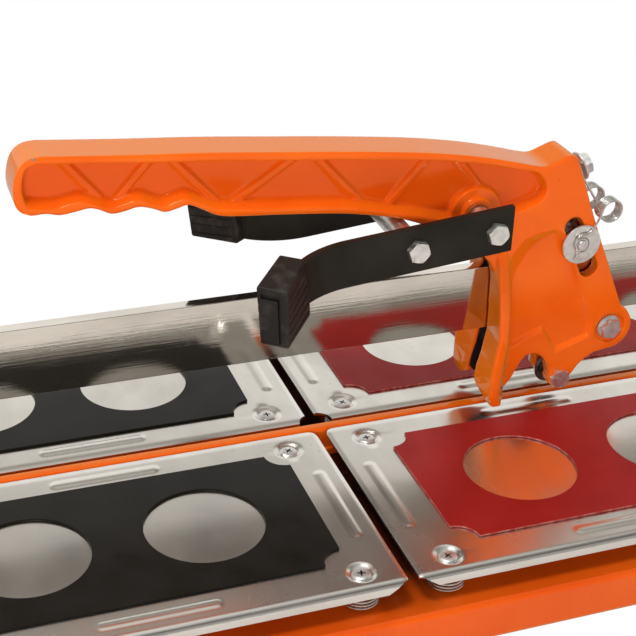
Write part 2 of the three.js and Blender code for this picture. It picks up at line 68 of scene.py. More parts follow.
def corners(node):
    """Lowest and highest corner of a CAD node, in millimetres."""
    low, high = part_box(node)
    return low / MM, high / MM


def middle(node):
    low, high = corners(node)
    return (low + high) / 2


FULCRUM = middle("lower_roller")
PIN = middle("upper_roller")
WHEEL = middle("scoring_wheel")
PIVOT = middle("yoke_pivot_tube")
STOP = middle("yoke_stop_tube")
BASE_LOW, BASE_HIGH = corners("base_tray")
RAIL_LOW, RAIL_HIGH = corners("rail")


# ---------------------------------------------------------------- meshes
def build(name, verts, faces):
    mesh = bpy.data.meshes.new(name)
    mesh.from_pydata([Vector(v) * MM for v in verts], [], faces)
    obj = bpy.data.objects.new(name, mesh)
    bpy.context.scene.collection.objects.link(obj)
    work = bmesh.new()
    work.from_mesh(mesh)
    bmesh.ops.recalc_face_normals(work, faces=work.faces)
    work.to_mesh(mesh)
    work.free()
    return obj


def freeze(obj):
    """Applies an object's modifiers."""
    graph = bpy.context.evaluated_depsgraph_get()
    made = bpy.data.meshes.new_from_object(obj.evaluated_get(graph))
    obj.modifiers.clear()
    obj.data = made
    return obj


def modified(obj, kind, **settings):
    modifier = obj.modifiers.new(kind, kind)
    for name, value in settings.items():
        setattr(modifier, name, value)
    return freeze(obj)


def bevelled(obj, width, segments=3, angle=30):
    return modified(obj, "BEVEL", width=width * MM, segments=segments,
                    limit_method="ANGLE", angle_limit=math.radians(angle))


def combined(target, tools, operation):
    for tool in tools:
        modified(target, "BOOLEAN", object=tool, operation=operation, solver="EXACT")
        bpy.data.objects.remove(tool)
    return target


def cut(target, *tools):
    return combined(target, tools, "DIFFERENCE")


def fused(target, *tools):
    return combined(target, tools, "UNION")


def joined(name, *parts):
    """One object that holds several separate solids."""
    work = bmesh.new()
    for part in parts:
        part.data.transform(part.matrix_basis)
        work.from_mesh(part.data)
        bpy.data.objects.remove(part)
    mesh = bpy.data.meshes.new(name)
    work.to_mesh(mesh)
    work.free()
    obj = bpy.data.objects.new(name, mesh)
    bpy.context.scene.collection.objects.link(obj)
    return obj


def smooth(obj, angle=32):
    obj.data.shade_smooth()
    obj.data.set_sharp_from_angle(angle=math.radians(angle))
    return obj


def prism(outline, low, high, axis="Y", top=None):
    """An outline extruded along an axis. Where it tapers, top is the outline at the high end."""
    lift = {
        "X": lambda p, h: (h, p[0], p[1]),
        "Y": lambda p, h: (p[0], h, p[1]),
        "Z": lambda p, h: (p[0], p[1], h),
    }[axis]
    count = len(outline)
    verts = [lift(p, low) for p in outline] + [lift(p, high) for p in (top or outline)]
    faces = [tuple(range(count)), tuple(range(2 * count - 1, count - 1, -1))]
    for i in range(count):
        j = (i + 1) % count
        faces.append((i, j, count + j, count + i))
    return build("prism", verts, faces)


def block(low, high):
    outline = [(low[0], low[1]), (high[0], low[1]), (high[0], high[1]), (low[0], high[1])]
    return prism(outline, low[2], high[2], "Z")


def loft(sections, ring=False):
    """A closed solid through rows of points. A ring's last row joins its first, else both ends are capped."""
    size, rows = len(sections[0]), len(sections)
    faces = []
    for row in range(rows if ring else rows - 1):
        below, above = row * size, (row + 1) % rows * size
        for i in range(size):
            j = (i + 1) % size
            faces.append((below + i, below + j, above + j, above + i))
    if not ring:
        faces.append(tuple(range(size)))
        faces.append(tuple(range((rows - 1) * size, rows * size)))
    return build("loft", [point for section in sections for point in section], faces)


def spokes(sides):
    """The cosine and sine of each even step round a circle."""
    angles = [2 * math.pi * i / sides for i in range(sides)]
    return [(math.cos(a), math.sin(a)) for a in angles]


def lathe(profile, at=(0, 0, 0), along=(0, 1, 0), sides=48, ring=False):
    """Turns (radius, distance) pairs about an axis. A ring's profile closes on itself."""
    turn = Vector((0, 0, 1)).rotation_difference(Vector(along)).to_matrix()
    sections = []
    for radius, distance in profile:
        spots = [Vector((radius * c, radius * s, distance)) for c, s in spokes(sides)]
        sections.append([Vector(at) + turn @ spot for spot in spots])
    return loft(sections, ring)


def on_axis(point):
    """The point of the middle plane level with this one."""
    return (point.x, 0, point.z)


def rod(radius, low, high, at, sides=48):
    """A round rod parallel to Y through the point at."""
    return lathe([(radius, low), (radius, high)], (at[0], 0, at[2]), sides=sides)


def wire(path, radius, sides=8):
    """A closed tube along a path, with a frame carried along it so that it doesn't twist."""
    path = [Vector(p) for p in path]
    last = len(path) - 1
    ahead = [(path[min(i + 1, last)] - path[max(i - 1, 0)]).normalized() for i in range(last + 1)]
    across = ahead[0].orthogonal().normalized()
    sections = []
    for point, forward in zip(path, ahead):
        across = (across - forward * across.dot(forward)).normalized()
        other = forward.cross(across)
        sections.append([point + (across * c + other * s) * radius for c, s in spokes(sides)])
    return loft(sections)


def arc(cx, cy, radius, start, end, steps):
    """Points on a circle, with angles in degrees."""
    points = []
    for i in range(steps + 1):
        a = math.radians(start + (end - start) * i / steps)
        points.append((cx + radius * math.cos(a), cy + radius * math.sin(a)))
    return points


def curve(points, steps=5):
    """A Catmull-Rom curve through points of any dimension."""
    spots = [Vector(p) for p in points]
    spots = [2 * spots[0] - spots[1]] + spots + [2 * spots[-1] - spots[-2]]
    made = []
    for a, b, c, d in zip(spots, spots[1:], spots[2:], spots[3:]):
        for i in range(steps):
            t = i / steps
            made.append(0.5 * (2 * b + (c - a) * t + (2 * a - 5 * b + 4 * c - d) * t * t
                               + (3 * b - a - 3 * c + d) * t ** 3))
    made.append(spots[-2])
    return [tuple(p) for p in made]


def ramp(value, low, high):
    """0 below low, 1 above high and a smooth step between them."""
    t = min(1.0, max(0.0, (value - low) / (high - low)))
    return t * t * (3 - 2 * t)


# ---------------------------------------------------------------- materials
class Look:
    """A Principled material, and short calls that add its procedural detail."""

    def __init__(self, name, color, roughness, metallic=0.0, specular=0.5):
        self.material = bpy.data.materials.new(name)
        self.material.use_nodes = True
        self.tree = self.material.node_tree
        self.shader = self.tree.nodes["Principled BSDF"]
        self.shader.inputs["Base Color"].default_value = (*color, 1)
        self.shader.inputs["Roughness"].default_value = roughness
        self.shader.inputs["Metallic"].default_value = metallic
        self.shader.inputs["Specular IOR Level"].default_value = specular
        self.coords = self.tree.nodes.new("ShaderNodeTexCoord").outputs["Object"]

    def link(self, socket, name):
        self.tree.links.new(socket, self.shader.inputs[name])

    def noise(self, scale, detail=2.0, stretch=(1, 1, 1), rough=0.5):
        """Fractal noise, scale times to the metre. A small stretch value draws it out along that axis."""
        mapping = self.tree.nodes.new("ShaderNodeMapping")
        mapping.inputs["Scale"].default_value = stretch
        self.tree.links.new(self.coords, mapping.inputs["Vector"])
        node = self.tree.nodes.new("ShaderNodeTexNoise")
        node.inputs["Scale"].default_value = scale
        node.inputs["Detail"].default_value = detail
        node.inputs["Roughness"].default_value = rough
        self.tree.links.new(mapping.outputs["Vector"], node.inputs["Vector"])
        return node.outputs["Fac"]

    def remap(self, socket, low, high, out_low, out_high):
        node = self.tree.nodes.new("ShaderNodeMapRange")
        node.inputs["From Min"].default_value = low
        node.inputs["From Max"].default_value = high
        node.inputs["To Min"].default_value = out_low
        node.inputs["To Max"].default_value = out_high
        self.tree.links.new(socket, node.inputs["Value"])
        return node.outputs["Result"]

    def blend(self, share, first, second):
        """Mixes two colours or sockets by a share."""
        node = self.tree.nodes.new("ShaderNodeMix")
        node.data_type = "RGBA"
        self.tree.links.new(share, node.inputs[0])
        for value, socket in ((first, node.inputs[6]), (second, node.inputs[7])):
            if isinstance(value, tuple):
                socket.default_value = (*value, 1)
            else:
                self.tree.links.new(value, socket)
        return node.outputs[2]

    def patches(self, scale, detail, low, high, first, second):
        """Two colours in soft patches: the first below low, the second above high."""
        return self.blend(self.remap(self.noise(scale, detail), low, high, 0, 1), first, second)

    def uneven_gloss(self, scale, detail, low, high):
        self.link(self.remap(self.noise(scale, detail), 0.3, 0.7, low, high), "Roughness")

    def coordinate(self, name):
        """One of the coordinates the material can use, such as Normal or Generated."""
        return self.tree.nodes["Texture Coordinate"].outputs[name]

    def math(self, operation, first, second=None):
        node = self.tree.nodes.new("ShaderNodeMath")
        node.operation = operation
        self.tree.links.new(first, node.inputs[0])
        if second is not None:
            self.tree.links.new(second, node.inputs[1])
        return node.outputs[0]

    def axes(self, socket=None):
        """The three coordinates one by one, in metres."""
        node = self.tree.nodes.new("ShaderNodeSeparateXYZ")
        self.tree.links.new(socket or self.coords, node.inputs[0])
        return node.outputs

    def distance(self, socket, point):
        node = self.tree.nodes.new("ShaderNodeVectorMath")
        node.operation = "DISTANCE"
        self.tree.links.new(socket, node.inputs[0])
        node.inputs[1].default_value = point
        return node.outputs["Value"]

    def bump(self, *layers):
        """Layers of (height socket, height in millimetres), each on top of the last."""
        normal = None
        for height, depth in layers:
            node = self.tree.nodes.new("ShaderNodeBump")
            node.inputs["Strength"].default_value = 1.0
            node.inputs["Distance"].default_value = depth * MM
            self.tree.links.new(height, node.inputs["Height"])
            if normal is not None:
                self.tree.links.new(normal, node.inputs["Normal"])
            normal = node.outputs["Normal"]
        self.link(normal, "Normal")


def orange_enamel(name, marks_and_shade=None, deep=1.0):
    """Glossy paint. The function passed in adds its own marks and painted shade to the colour, and a depth
    below 1 darkens the whole colour towards red as painted shade.
    """
    look = Look(name, (0.87, 0.135, 0.009), 0.2, specular=0.42)
    look.shader.inputs["Specular Tint"].default_value = (1.0, 0.88, 0.5, 1)
    dull = (0.8 * deep, 0.1 * deep ** 2, 0.004)
    bright = (0.88 * deep, 0.128 * deep ** 2, 0.006 * deep)
    base = look.patches(22, 3, 0.35, 0.65, dull, bright)
    # Painted sheen: the orange turns warmer and yellower where the surface faces away from the eye, standing
    # in for the room's reflection.
    weight = look.tree.nodes.new("ShaderNodeLayerWeight")
    weight.inputs["Blend"].default_value = 0.5
    painted_sheen = look.remap(weight.outputs["Facing"], 0.32, 0.6, 0, 1)
    base = look.blend(painted_sheen, base, (0.8 * deep, 0.185 * deep ** 2, 0.004))
    specks = look.remap(look.noise(650, 1), 0.74, 0.8, 0, 0.55)
    paint = look.blend(specks, base, (0.3, 0.04, 0.006))
    look.link(marks_and_shade(look, paint) if marks_and_shade else paint, "Base Color")
    look.uneven_gloss(90, 3, 0.09, 0.17)
    look.bump((look.noise(75, 2), 0.12), (look.noise(520, 2), 0.016))
    return look.material


def painted_gap_shade(look, paint):
    """Painted shade: a near-black band on the tray in the gap between the left and the right tables."""
    x, y, z = look.axes()
    inside = look.remap(look.math("ABSOLUTE", x), 13 * MM, 17 * MM, 1, 0)
    along = look.remap(look.math("ABSOLUTE", y), 112 * MM, 146 * MM, 1, 0)
    level = look.remap(z, (BASE_HIGH.z + 0.2) * MM, (BASE_HIGH.z + 0.4) * MM, 0.96, 0)
    share = look.math("MULTIPLY", look.math("MULTIPLY", inside, along), level)
    return look.blend(share, paint, (0.018, 0.006, 0.004))


def recess_shade_and_chip(look, paint):
    """Painted shade that deepens the paint in the recesses, and a chip at the handle's back down to the grey
    primer.
    """
    painted_recess_shade = look.remap(look.math("ABSOLUTE", look.axes()[1]), 6.2 * MM, 10 * MM, 0.62, 0)
    upright = look.remap(look.math("ABSOLUTE", look.axes(look.coordinate("Normal"))[1]), 0.3, 0.8, 0, 1)
    paint = look.blend(look.math("MULTIPLY", painted_recess_shade, upright), paint, (0.66, 0.064, 0.002))
    ragged = look.remap(look.noise(900, 2), 0, 1, -1.1 * MM, 1.1 * MM)
    edge = look.math("ADD", look.distance(look.coords, CHIP), ragged)
    return look.blend(look.remap(edge, 0.9 * MM, 1.3 * MM, 1, 0), paint, (0.19, 0.15, 0.12))


def polished_steel():
    look = Look("polished_steel", (0.79, 0.735, 0.66), 0.16, 1.0)
    streaks = look.noise(900, 3, (0.012, 1, 1))
    smears = look.noise(45, 4, (0.35, 1, 1), 0.6)
    base = look.blend(look.remap(smears, 0.4, 0.75, 0, 1), (0.78, 0.725, 0.65), (0.6, 0.555, 0.49))
    look.link(base, "Base Color")
    look.link(look.remap(smears, 0.3, 0.8, 0.045, 0.1), "Roughness")
    waves = look.noise(30, 1, (0.5, 1, 1))
    scratches = look.noise(2600, 2, (0.06, 1, 1))
    look.bump((waves, 0.14), (streaks, 0.016), (scratches, 0.006))
    return look.material


def table_steel():
    look = Look("table_steel", (0.8, 0.77, 0.71), 0.24, 1.0)
    smears = look.noise(28, 4, (1, 0.5, 1), 0.6)
    marks = look.remap(look.noise(420, 2), 0.72, 0.78, 0, 0.5)
    base = look.blend(look.remap(smears, 0.35, 0.75, 0, 1), (0.82, 0.79, 0.73), (0.72, 0.69, 0.63))
    look.link(look.blend(marks, base, (0.42, 0.39, 0.35)), "Base Color")
    look.link(look.remap(smears, 0.3, 0.75, 0.2, 0.31), "Roughness")
    look.bump((look.noise(40, 2), 0.05), (look.noise(1500, 3, (0.05, 1, 1)), 0.004))
    return look.material


def plated_steel(name, color, roughness):
    look = Look(name, color, roughness, 1.0)
    darker = tuple(c * 0.72 for c in color)
    look.link(look.patches(260, 3, 0.45, 0.8, color, darker), "Base Color")
    look.uneven_gloss(500, 2, roughness * 0.7, roughness * 1.5)
    look.bump((look.noise(700, 2), 0.006))
    return look.material


def table_spring():
    """Bright outside, with painted shade on the inside of the coil."""
    look = Look("table_spring", (0.72, 0.7, 0.66), 0.16, 1.0)
    node = look.tree.nodes.new("ShaderNodeVectorMath")
    node.operation = "MULTIPLY"
    look.tree.links.new(look.coordinate("Generated"), node.inputs[0])
    node.inputs[1].default_value = (1, 1, 0)
    # Painted shade: the side of the wire that faces the coil's axis is darkened.
    inner = look.remap(look.distance(node.outputs[0], (0.5, 0.5, 0)), 0.455, 0.47, 1, 0)
    wear = look.patches(300, 3, 0.4, 0.8, (0.74, 0.72, 0.68), (0.5, 0.48, 0.45))
    look.link(look.blend(inner, wear, (0.05, 0.04, 0.035)), "Base Color")
    look.bump((look.noise(700, 2), 0.006))
    return look.material


def cross_screw_steel():
    """White zinc, with painted shade in the cross recess."""
    look = Look("white_zinc", (0.88, 0.87, 0.84), 0.42, 1.0)
    x, y, z = look.axes(look.coordinate("Generated"))
    flat = look.tree.nodes.new("ShaderNodeCombineXYZ")
    look.tree.links.new(x, flat.inputs[0])
    look.tree.links.new(y, flat.inputs[1])
    middle_share = look.remap(look.distance(flat.outputs[0], (0.5, 0.5, 0)), 0.21, 0.222, 1, 0)
    painted_cross_shade = look.math("MULTIPLY", middle_share, look.remap(z, 0.978, 0.99, 1, 0))
    wear = look.patches(260, 3, 0.45, 0.8, (0.88, 0.87, 0.84), (0.66, 0.65, 0.62))
    look.link(look.blend(painted_cross_shade, wear, (0.03, 0.026, 0.022)), "Base Color")
    look.uneven_gloss(500, 2, 0.32, 0.5)
    look.bump((look.noise(700, 2), 0.006))
    return look.material


def rubber_sheet(name, dark, light, roughness, edge_tint=None):
    """Mat rubber with lint on it. An edge colour, when given, is laid in patches along its cut edges."""
    look = Look(name, dark, roughness, specular=0.2)
    lint = look.remap(look.noise(1400, 2), 0.73, 0.8, 0, 0.35)
    dusty = tuple(min(1, c * 2.2 + 0.05) for c in light)
    top = look.blend(lint, look.patches(35, 4, 0.35, 0.7, dark, light), dusty)
    if edge_tint:
        level = look.math("ABSOLUTE", look.axes(look.coordinate("Normal"))[2])
        edges = look.remap(level, 0.75, 0.9, 1, 0)
        patchy = look.remap(look.noise(380, 3), 0.4, 0.65, 0.15, 0.75)
        top = look.blend(look.math("MULTIPLY", edges, patchy), top, edge_tint)
    look.link(top, "Base Color")
    look.uneven_gloss(60, 3, roughness - 0.07, roughness + 0.08)
    look.bump((look.noise(60, 2), 0.05), (look.noise(2300, 2), 0.012))
    return look.material


def moulded_rubber():
    look = Look("moulded_rubber", (0.018, 0.015, 0.012), 0.55, specular=0.2)
    scuffs = look.remap(look.noise(160, 4), 0.5, 0.8, 0, 1)
    look.link(look.blend(scuffs, (0.016, 0.013, 0.011), (0.05, 0.043, 0.036)), "Base Color")
    look.link(look.remap(scuffs, 0, 1, 0.46, 0.68), "Roughness")
    look.bump((look.noise(900, 3), 0.03), (look.noise(90, 2), 0.12))
    return look.material


def black_enamel():
    look = Look("black_enamel", (0.014, 0.012, 0.009), 0.34, specular=0.12)
    look.link(look.patches(40, 3, 0.35, 0.7, (0.013, 0.011, 0.008), (0.022, 0.018, 0.014)), "Base Color")
    look.uneven_gloss(120, 3, 0.27, 0.42)
    look.bump((look.noise(110, 2), 0.05), (look.noise(900, 2), 0.012))
    return look.material


def anodised_aluminium():
    look = Look("anodised_aluminium", (0.66, 0.67, 0.68), 0.33, 1.0)
    look.uneven_gloss(60, 3, 0.26, 0.4)
    look.bump((look.noise(1600, 3, (1, 0.04, 1)), 0.005))
    return look.material


CHIP = (-0.146, -0.012, 0.228)  # where the paint is chipped, in metres as the shader needs it
ORANGE = orange_enamel("orange_enamel")
# The tray's copy is darker all over: painted shade for the tray, which sits under the tables.
TRAY_SHADED_ORANGE = orange_enamel("orange_enamel_tray_shaded", painted_gap_shade, 0.84)
CASTING_ORANGE = orange_enamel("orange_enamel_casting", recess_shade_and_chip)
RAIL_STEEL = polished_steel()
TABLE_STEEL = table_steel()
CHROME = plated_steel("bright_zinc", (0.9, 0.885, 0.85), 0.4)
TABLE_SPRING = table_spring()
SCREW_STEEL = cross_screw_steel()
SPRING = plated_steel("spring_wire", (0.78, 0.765, 0.73), 0.3)
BEARING = plated_steel("bearing_steel", (0.6, 0.585, 0.56), 0.18)
CARBIDE = plated_steel("dark_carbide", (0.16, 0.155, 0.15), 0.25)
BLACK_MAT = rubber_sheet("black_mat", (0.007, 0.0055, 0.0035), (0.0115, 0.0095, 0.0075), 0.33)
RED_MAT = rubber_sheet("red_mat", (0.28, 0.007, 0.0055), (0.34, 0.011, 0.009), 0.4, edge_tint=(0.52, 0.22, 0.18))
RUBBER = moulded_rubber()
BLACK = black_enamel()
ALUMINIUM = anodised_aluminium()


def place(obj, name, material, slot, body, *nodes, angle=32, flats=False):
    """Finishes a piece: its name and material, the body it rides on and the CAD nodes it stands for. The slot
    argument is not used.

    flats keeps the shading of large flat faces level where they meet small bevels.
    """
    obj.name = name
    obj.data.name = name
    obj.data.materials.clear()
    obj.data.materials.append(material)
    smooth(obj, angle)
    if flats:
        modified(obj, "WEIGHTED_NORMAL", keep_sharp=True, weight=100)
    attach(obj, body)
    if nodes:
        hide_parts(*nodes)
    return obj


# ---------------------------------------------------------------- casting
HEAD_HALF = 12
CHEEK = 4.35  # half width of the slot that straddles the rail
RECESS_FLOOR = 4.6  # |y| of the handle's recessed web


def mirrored_prism(outline, low, high, side, top=None):
    """A prism along Y from |y| = low to |y| = high on one side, with outline at low and top at high."""
    return prism(outline, side * low, side * high, "Y", top)


def handle_outline():
    """The casting's silhouette, anticlockwise from the grip's lower left."""
    under = curve([(-150, 200.1), (-148.4, 199.5), (-141.3, 199.6), (-135.2, 198.2), (-128.5, 198.9),
                   (-121.2, 200), (-116, 198.4), (-110.7, 195.9), (-104, 196.6), (-97.8, 197.9), (-91, 196.2),
                   (-85, 193.7), (-79, 194.8), (-73.2, 196), (-66, 192.6), (-58.5, 188.7), (-48.8, 187.1),
                   (-27.2, 185.3), (2.4, 182.3), (17.6, 179.8), (33.1, 176.4), (44.1, 172.8), (58, 166.8),
                   (72, 158.6), (83, 150.8), (90.5, 144), (94.4, 137.5), (96.2, 129)], 4)
    leg = [(96.7, 99), (95, 86), (92.5, 77), (91.4, 70), (94, 63), (97.5, 59), (104.5, 59), (107, 62.4),
           (110.8, 67), (115.9, 77), (119.2, 81.6), (124.7, 82), (130.2, 78.8), (133.6, 73.2), (135.2, 67.2)]
    nose = arc(WHEEL.x, WHEEL.z, 6.4, 160, 350, 10)
    throat = [(150.4, 65.2), (153.2, 69.6), (157.4, 73.4), (163, 76.6)]
    chin = arc(FULCRUM.x + 0.2, FULCRUM.z, 13.6, -80, 40, 9)
    back = [(180.6, 101.6), (176.3, 105.4), (170.2, 119.4), (164.3, 133.4), (158.4, 146.4), (151.4, 163),
            (146, 176.6), (141.2, 188.6), (137.6, 197.6), (134.6, 199.6), (131.6, 199.1)]
    crest = curve([(131.6, 199.1), (126, 197), (119.6, 194.9), (113.1, 195.9), (100.8, 199.3), (84.7, 203.4),
                   (69, 206.6), (46, 210.3), (8.5, 214.7), (-27.8, 218.3), (-62.8, 221.7), (-96.4, 224.2),
                   (-122.6, 226.4), (-142, 228.1)], 4)
    end = curve([(-142, 228.1), (-147.2, 227.4), (-151.3, 225), (-154, 221), (-155.6, 215.4), (-156.1, 210),
                 (-155.2, 204.6), (-152.8, 201.4), (-150, 200.1)], 4)
    return under[:-1] + leg + nose + throat + chin + back[:-1] + crest[:-1] + end[:-1]


def recess_outline():
    """The grip's long recess at the rim's inner edge, anticlockwise."""
    lower = curve([(-150.2, 204.4), (-146, 202.6), (-136.9, 201.8), (-130, 203.2), (-123.7, 203.9),
                   (-117, 200.8), (-110.6, 198.8), (-104, 200.2), (-97.1, 201.6), (-91, 198.6),
                   (-84.9, 196.8), (-79, 198.4), (-73.8, 199.2), (-66, 195.4), (-58, 192.2),
                   (-41.7, 190.1), (-5.2, 186.8), (13.6, 184),
                   (32.9, 179.3), (54.1, 173.4), (70, 169.6), (88, 168.6), (103.8, 170.6), (111.6, 173),
                   (118.2, 175.4), (120.7, 181), (119, 186.6), (114.1, 192), (104, 194.6), (96, 196.8)], 4)
    upper = curve([(96, 196.8), (84, 199.8), (69, 202.8), (51.8, 205.6), (8.7, 210.7), (-27.7, 214.2),
                   (-62.8, 217.4), (-96.5, 220.4), (-122.8, 222.8), (-144, 224.6)], 4)
    end = curve([(-144, 224.6), (-149, 223), (-151.2, 218), (-151.8, 211.4), (-150.2, 204.4)], 4)
    return lower[:-1] + upper[:-1] + end[:-1]


def shrunk(outline, amount, floor=None):
    """A closed outline moved inward point by point, or by floor where it faces up and isn't near the head."""
    made = []
    count = len(outline)
    for i in range(count):
        a, p, b = outline[i - 1], outline[i], outline[(i + 1) % count]
        tangent = Vector((b[0] - a[0], b[1] - a[1])).normalized()
        share = ramp(tangent.x, 0.2, 0.8) * ramp(p[0], 106, 92) if floor else 0
        inset = amount + share * ((floor or amount) - amount)
        made.append((p[0] - tangent.y * inset, p[1] + tangent.x * inset))
    return made


def rib(start, end, side, half=1.9, height=2.1):
    """A bar on the recess's web from start to end, with its own sloping sides."""
    (x0, z0), (x1, z1) = start, end
    along = Vector((x1 - x0, z1 - z0)).normalized()
    nx, nz = -along.y * half, along.x * half

    def outline(w):
        return [(x0 - nx * w, z0 - nz * w), (x1 - nx * w, z1 - nz * w), (x1 + nx * w, z1 + nz * w),
                (x0 + nx * w, z0 + nz * w)]

    return mirrored_prism(outline(1.45), RECESS_FLOOR - 0.6, RECESS_FLOOR + height, side, outline(0.8))


TRUSS = (((-133, 224), (-115, 202)), ((-91, 219), (-108, 200)), ((-81, 219), (-56, 191.5)),
         ((-18, 213), (-53, 190)), ((-8, 213), (20, 182)), ((54, 206), (30, 178)), ((69, 204), (96, 170)))


def toe_flare(side):
    """The front leg's plough: a sloping web that spreads from the cheek's front edge towards its toe."""
    rows = ((151, 93.4, 94.6, 103.5, 11.8), (143, 94.5, 95, 105, 15.5), (128.5, 96, 94.8, 106, 20.4),
            (113, 96.5, 94.9, 107, 23.6), (100, 96.7, 94.6, 107.5, 25), (84, 94, 92.6, 108, 25.4),
            (76, 92.3, 92, 108, 25.4), (66, 91.2, 92, 107, 25.2), (59.4, 93.6, 94, 104.6, 24.4))
    sections = []
    for z, front, edge, back, out in rows:
        section = ((front, 5), (edge, out - 1), (edge + 1, out), (edge + 5, out), (edge + 6.4, out - 1.4),
                   (back, 11.6), (back, 5))
        sections.append([(x, side * y, z) for x, y in section])
    return loft(sections)


def adjusting_slot(side):
    """The slot the upper axle rides in, an obround on a radius from the fulcrum."""
    lean = math.degrees(math.atan2(PIN.z - FULCRUM.z, PIN.x - FULCRUM.x))
    unit = Vector((math.cos(math.radians(lean)), math.sin(math.radians(lean))))
    near = Vector((FULCRUM.x, FULCRUM.z)) + unit * 44.5
    far = Vector((FULCRUM.x, FULCRUM.z)) + unit * 73.5
    outline = (arc(far.x, far.y, 5.5, lean - 90, lean + 90, 12)
               + arc(near.x, near.y, 5.5, lean + 90, lean + 270, 12))
    return prism(outline, *sorted((side * 2, side * 20)))


ANCHOR_AXIS = Vector((0.936, 0, 0.352))
ANCHOR = Vector((143, 0, 187))


def casting():
    body = prism(handle_outline(), -HEAD_HALF, HEAD_HALF)
    body = bevelled(body, 1.3, 2, 50)
    for side in (-1, 1):
        fused(body, toe_flare(side))
    for side in (-1, 1):
        cut(body, prism([(side * 2, 69.4), (side * 18, 59), (side * 18, 40), (side * 2, 40)], 86, 112, "X"))
    cut(body, block((60, -CHEEK, 40), (200, CHEEK, 168)))
    for side in (-1, 1):
        rim = recess_outline()
        web = shrunk(rim, 1.1, 3.1)
        cut(body, mirrored_prism(web, RECESS_FLOOR, HEAD_HALF + 0.5, side, shrunk(rim, -0.2)))
        bars = [rib(start, end, side) for start, end in TRUSS]
        fused(body, *bars)
        fused(body, lathe([(15.4, side * 3.5), (14.4, side * 8.9)], on_axis(PIVOT)))
        fused(body, lathe([(9.9, side * 3.5), (9.2, side * 11.9)], on_axis(PIVOT)))
        edge = [(137.2, 80.6), (158.6, 88), (158.6, 96.6), (143.8, 133.3), (136, 152.6), (130, 157.4),
                (119, 157), (110, 155), (103, 146), (101.6, 132), (106, 93), (108.4, 88), (127.7, 96.4)]
        floor = [(137.8, 82.6), (157, 89), (157, 96.4), (142, 132.6), (134, 151.6), (129, 155.6), (120, 152),
                 (114, 146), (108, 136), (105, 125), (109.4, 94.4), (110.4, 90), (128.2, 98)]
        cut(body, mirrored_prism(floor, HEAD_HALF - 2.3, HEAD_HALF + 0.3, side, edge))
        well = [(9.1, side * 9.6), (9.5, side * 14)]
        cut(body, lathe(well, on_axis(FULCRUM)))
        cut(body, adjusting_slot(side))
    cut(body, rod(6.05, -20, 20, PIVOT), rod(3.4, -20, 20, FULCRUM), rod(3.4, -20, 20, WHEEL))
    anchor_seat = lathe([(9.2, 0.9), (9.2, 12)], ANCHOR, ANCHOR_AXIS)
    anchor_hole = lathe([(3.3, -9.4), (3.3, 3)], ANCHOR, ANCHOR_AXIS)
    cut(body, anchor_seat, anchor_hole)
    modified(body, "REMESH", mode="VOXEL", voxel_size=0.55 * MM)
    modified(body, "SMOOTH", factor=0.5, iterations=5)
    return body


place(casting(), "casting", CASTING_ORANGE, "orange_paint", "head", "handle_casting", angle=60)


def slot_liner(side):
    """A thin black glide on the inside of a cheek."""
    outline = [(92.6, 71), (95.4, 67.6), (104, 62.6), (106.4, 63.6), (115, 77), (118.6, 82.6), (126, 83),
               (130, 90), (130, 160), (92, 160), (92, 144.6), (95.4, 138), (97.2, 129), (97.6, 99),
               (95.8, 86), (93.4, 77)]
    return prism(outline, side * 3.95, side * 4.45)


for word, side in ROWS:
    place(slot_liner(side), "glide_" + word, RUBBER, "black_rubber", "head")


# ---------------------------------------------------------------- fasteners
def hex_head(radius, low, high, at, along=(0, 1, 0), dish=True, turn=12):
    """A hexagon bolt head: chamfered corners and a shallow dish in its face. Radius is to the corners."""
    height = high - low
    body = lathe([(radius, low), (radius, high)], at, along, 6)
    axis = Vector(along).normalized()
    spin = Matrix.Rotation(math.radians(turn), 4, axis)
    centre = Matrix.Translation(Vector(at) * MM)
    body.data.transform(centre @ spin @ centre.inverted())
    sign = 1 if high > low else -1
    reach = radius + 2
    flat = radius * 0.9
    skirt = [(flat - 0.1, high), (reach, high - sign * (reach - flat) * 0.5), (reach, high + sign * 2),
             (flat - 0.1, high + sign * 2)]
    cut(body, lathe(skirt, at, along, 48, ring=True))
    if dish:
        bowl = [(radius * 0.5, high - height * 0.12), (radius * 0.64, high + height * 0.02)]
        cut(body, lathe(bowl, at, along, 40))
    return body


def washer(outer, bore, low, high, at, along=(0, 1, 0), edge=0.25):
    sign = 1 if high > low else -1
    profile = [(bore, low), (outer - edge, low), (outer, low + sign * edge), (outer, high - sign * edge),
               (outer - edge, high), (bore, high)]
    return lathe(profile, at, along, 64, ring=True)


def threaded(radius, low, high, at, along=(0, 1, 0), pitch=1.0):
    """A bolt shank with rolled threads, shown as close rings."""
    profile = [(radius - 0.35, low)]
    turns = int(abs(high - low) / pitch)
    sign = 1 if high > low else -1
    for i in range(turns):
        start = low + sign * i * pitch
        profile += [(radius, start + sign * pitch * 0.35), (radius, start + sign * pitch * 0.55),
                    (radius - 0.35, start + sign * pitch * 0.95)]
    profile.append((radius - 0.35, high))
    return lathe(profile, at, along, 32)


def cross_bolt(name, axis, face, shank, head, thick, body, node, flange=0.0):
    """A bolt through to |y| = face on both sides, its head at -y, with nut and thread end at +y."""
    at = on_axis(axis)
    parts = [rod(shank, -face - 0.5, face + 0.5, at, 32)]
    parts.append(hex_head(head, -face, -face - thick, at, dish=False))
    parts.append(hex_head(head, face, face + thick, at, dish=False, turn=37))
    parts.append(threaded(shank - 0.2, face, face + thick + 1.4, at))
    if flange:
        parts.append(lathe([(flange, -face), (flange, -face - 0.7), (flange - 0.9, -face - 1.3)], at))
        parts.append(lathe([(flange, face), (flange, face + 0.7), (flange - 0.9, face + 1.3)], at))
    bolt = joined(name, *parts)
    return place(bolt, name, CHROME, "chrome_steel", body, node, angle=25)


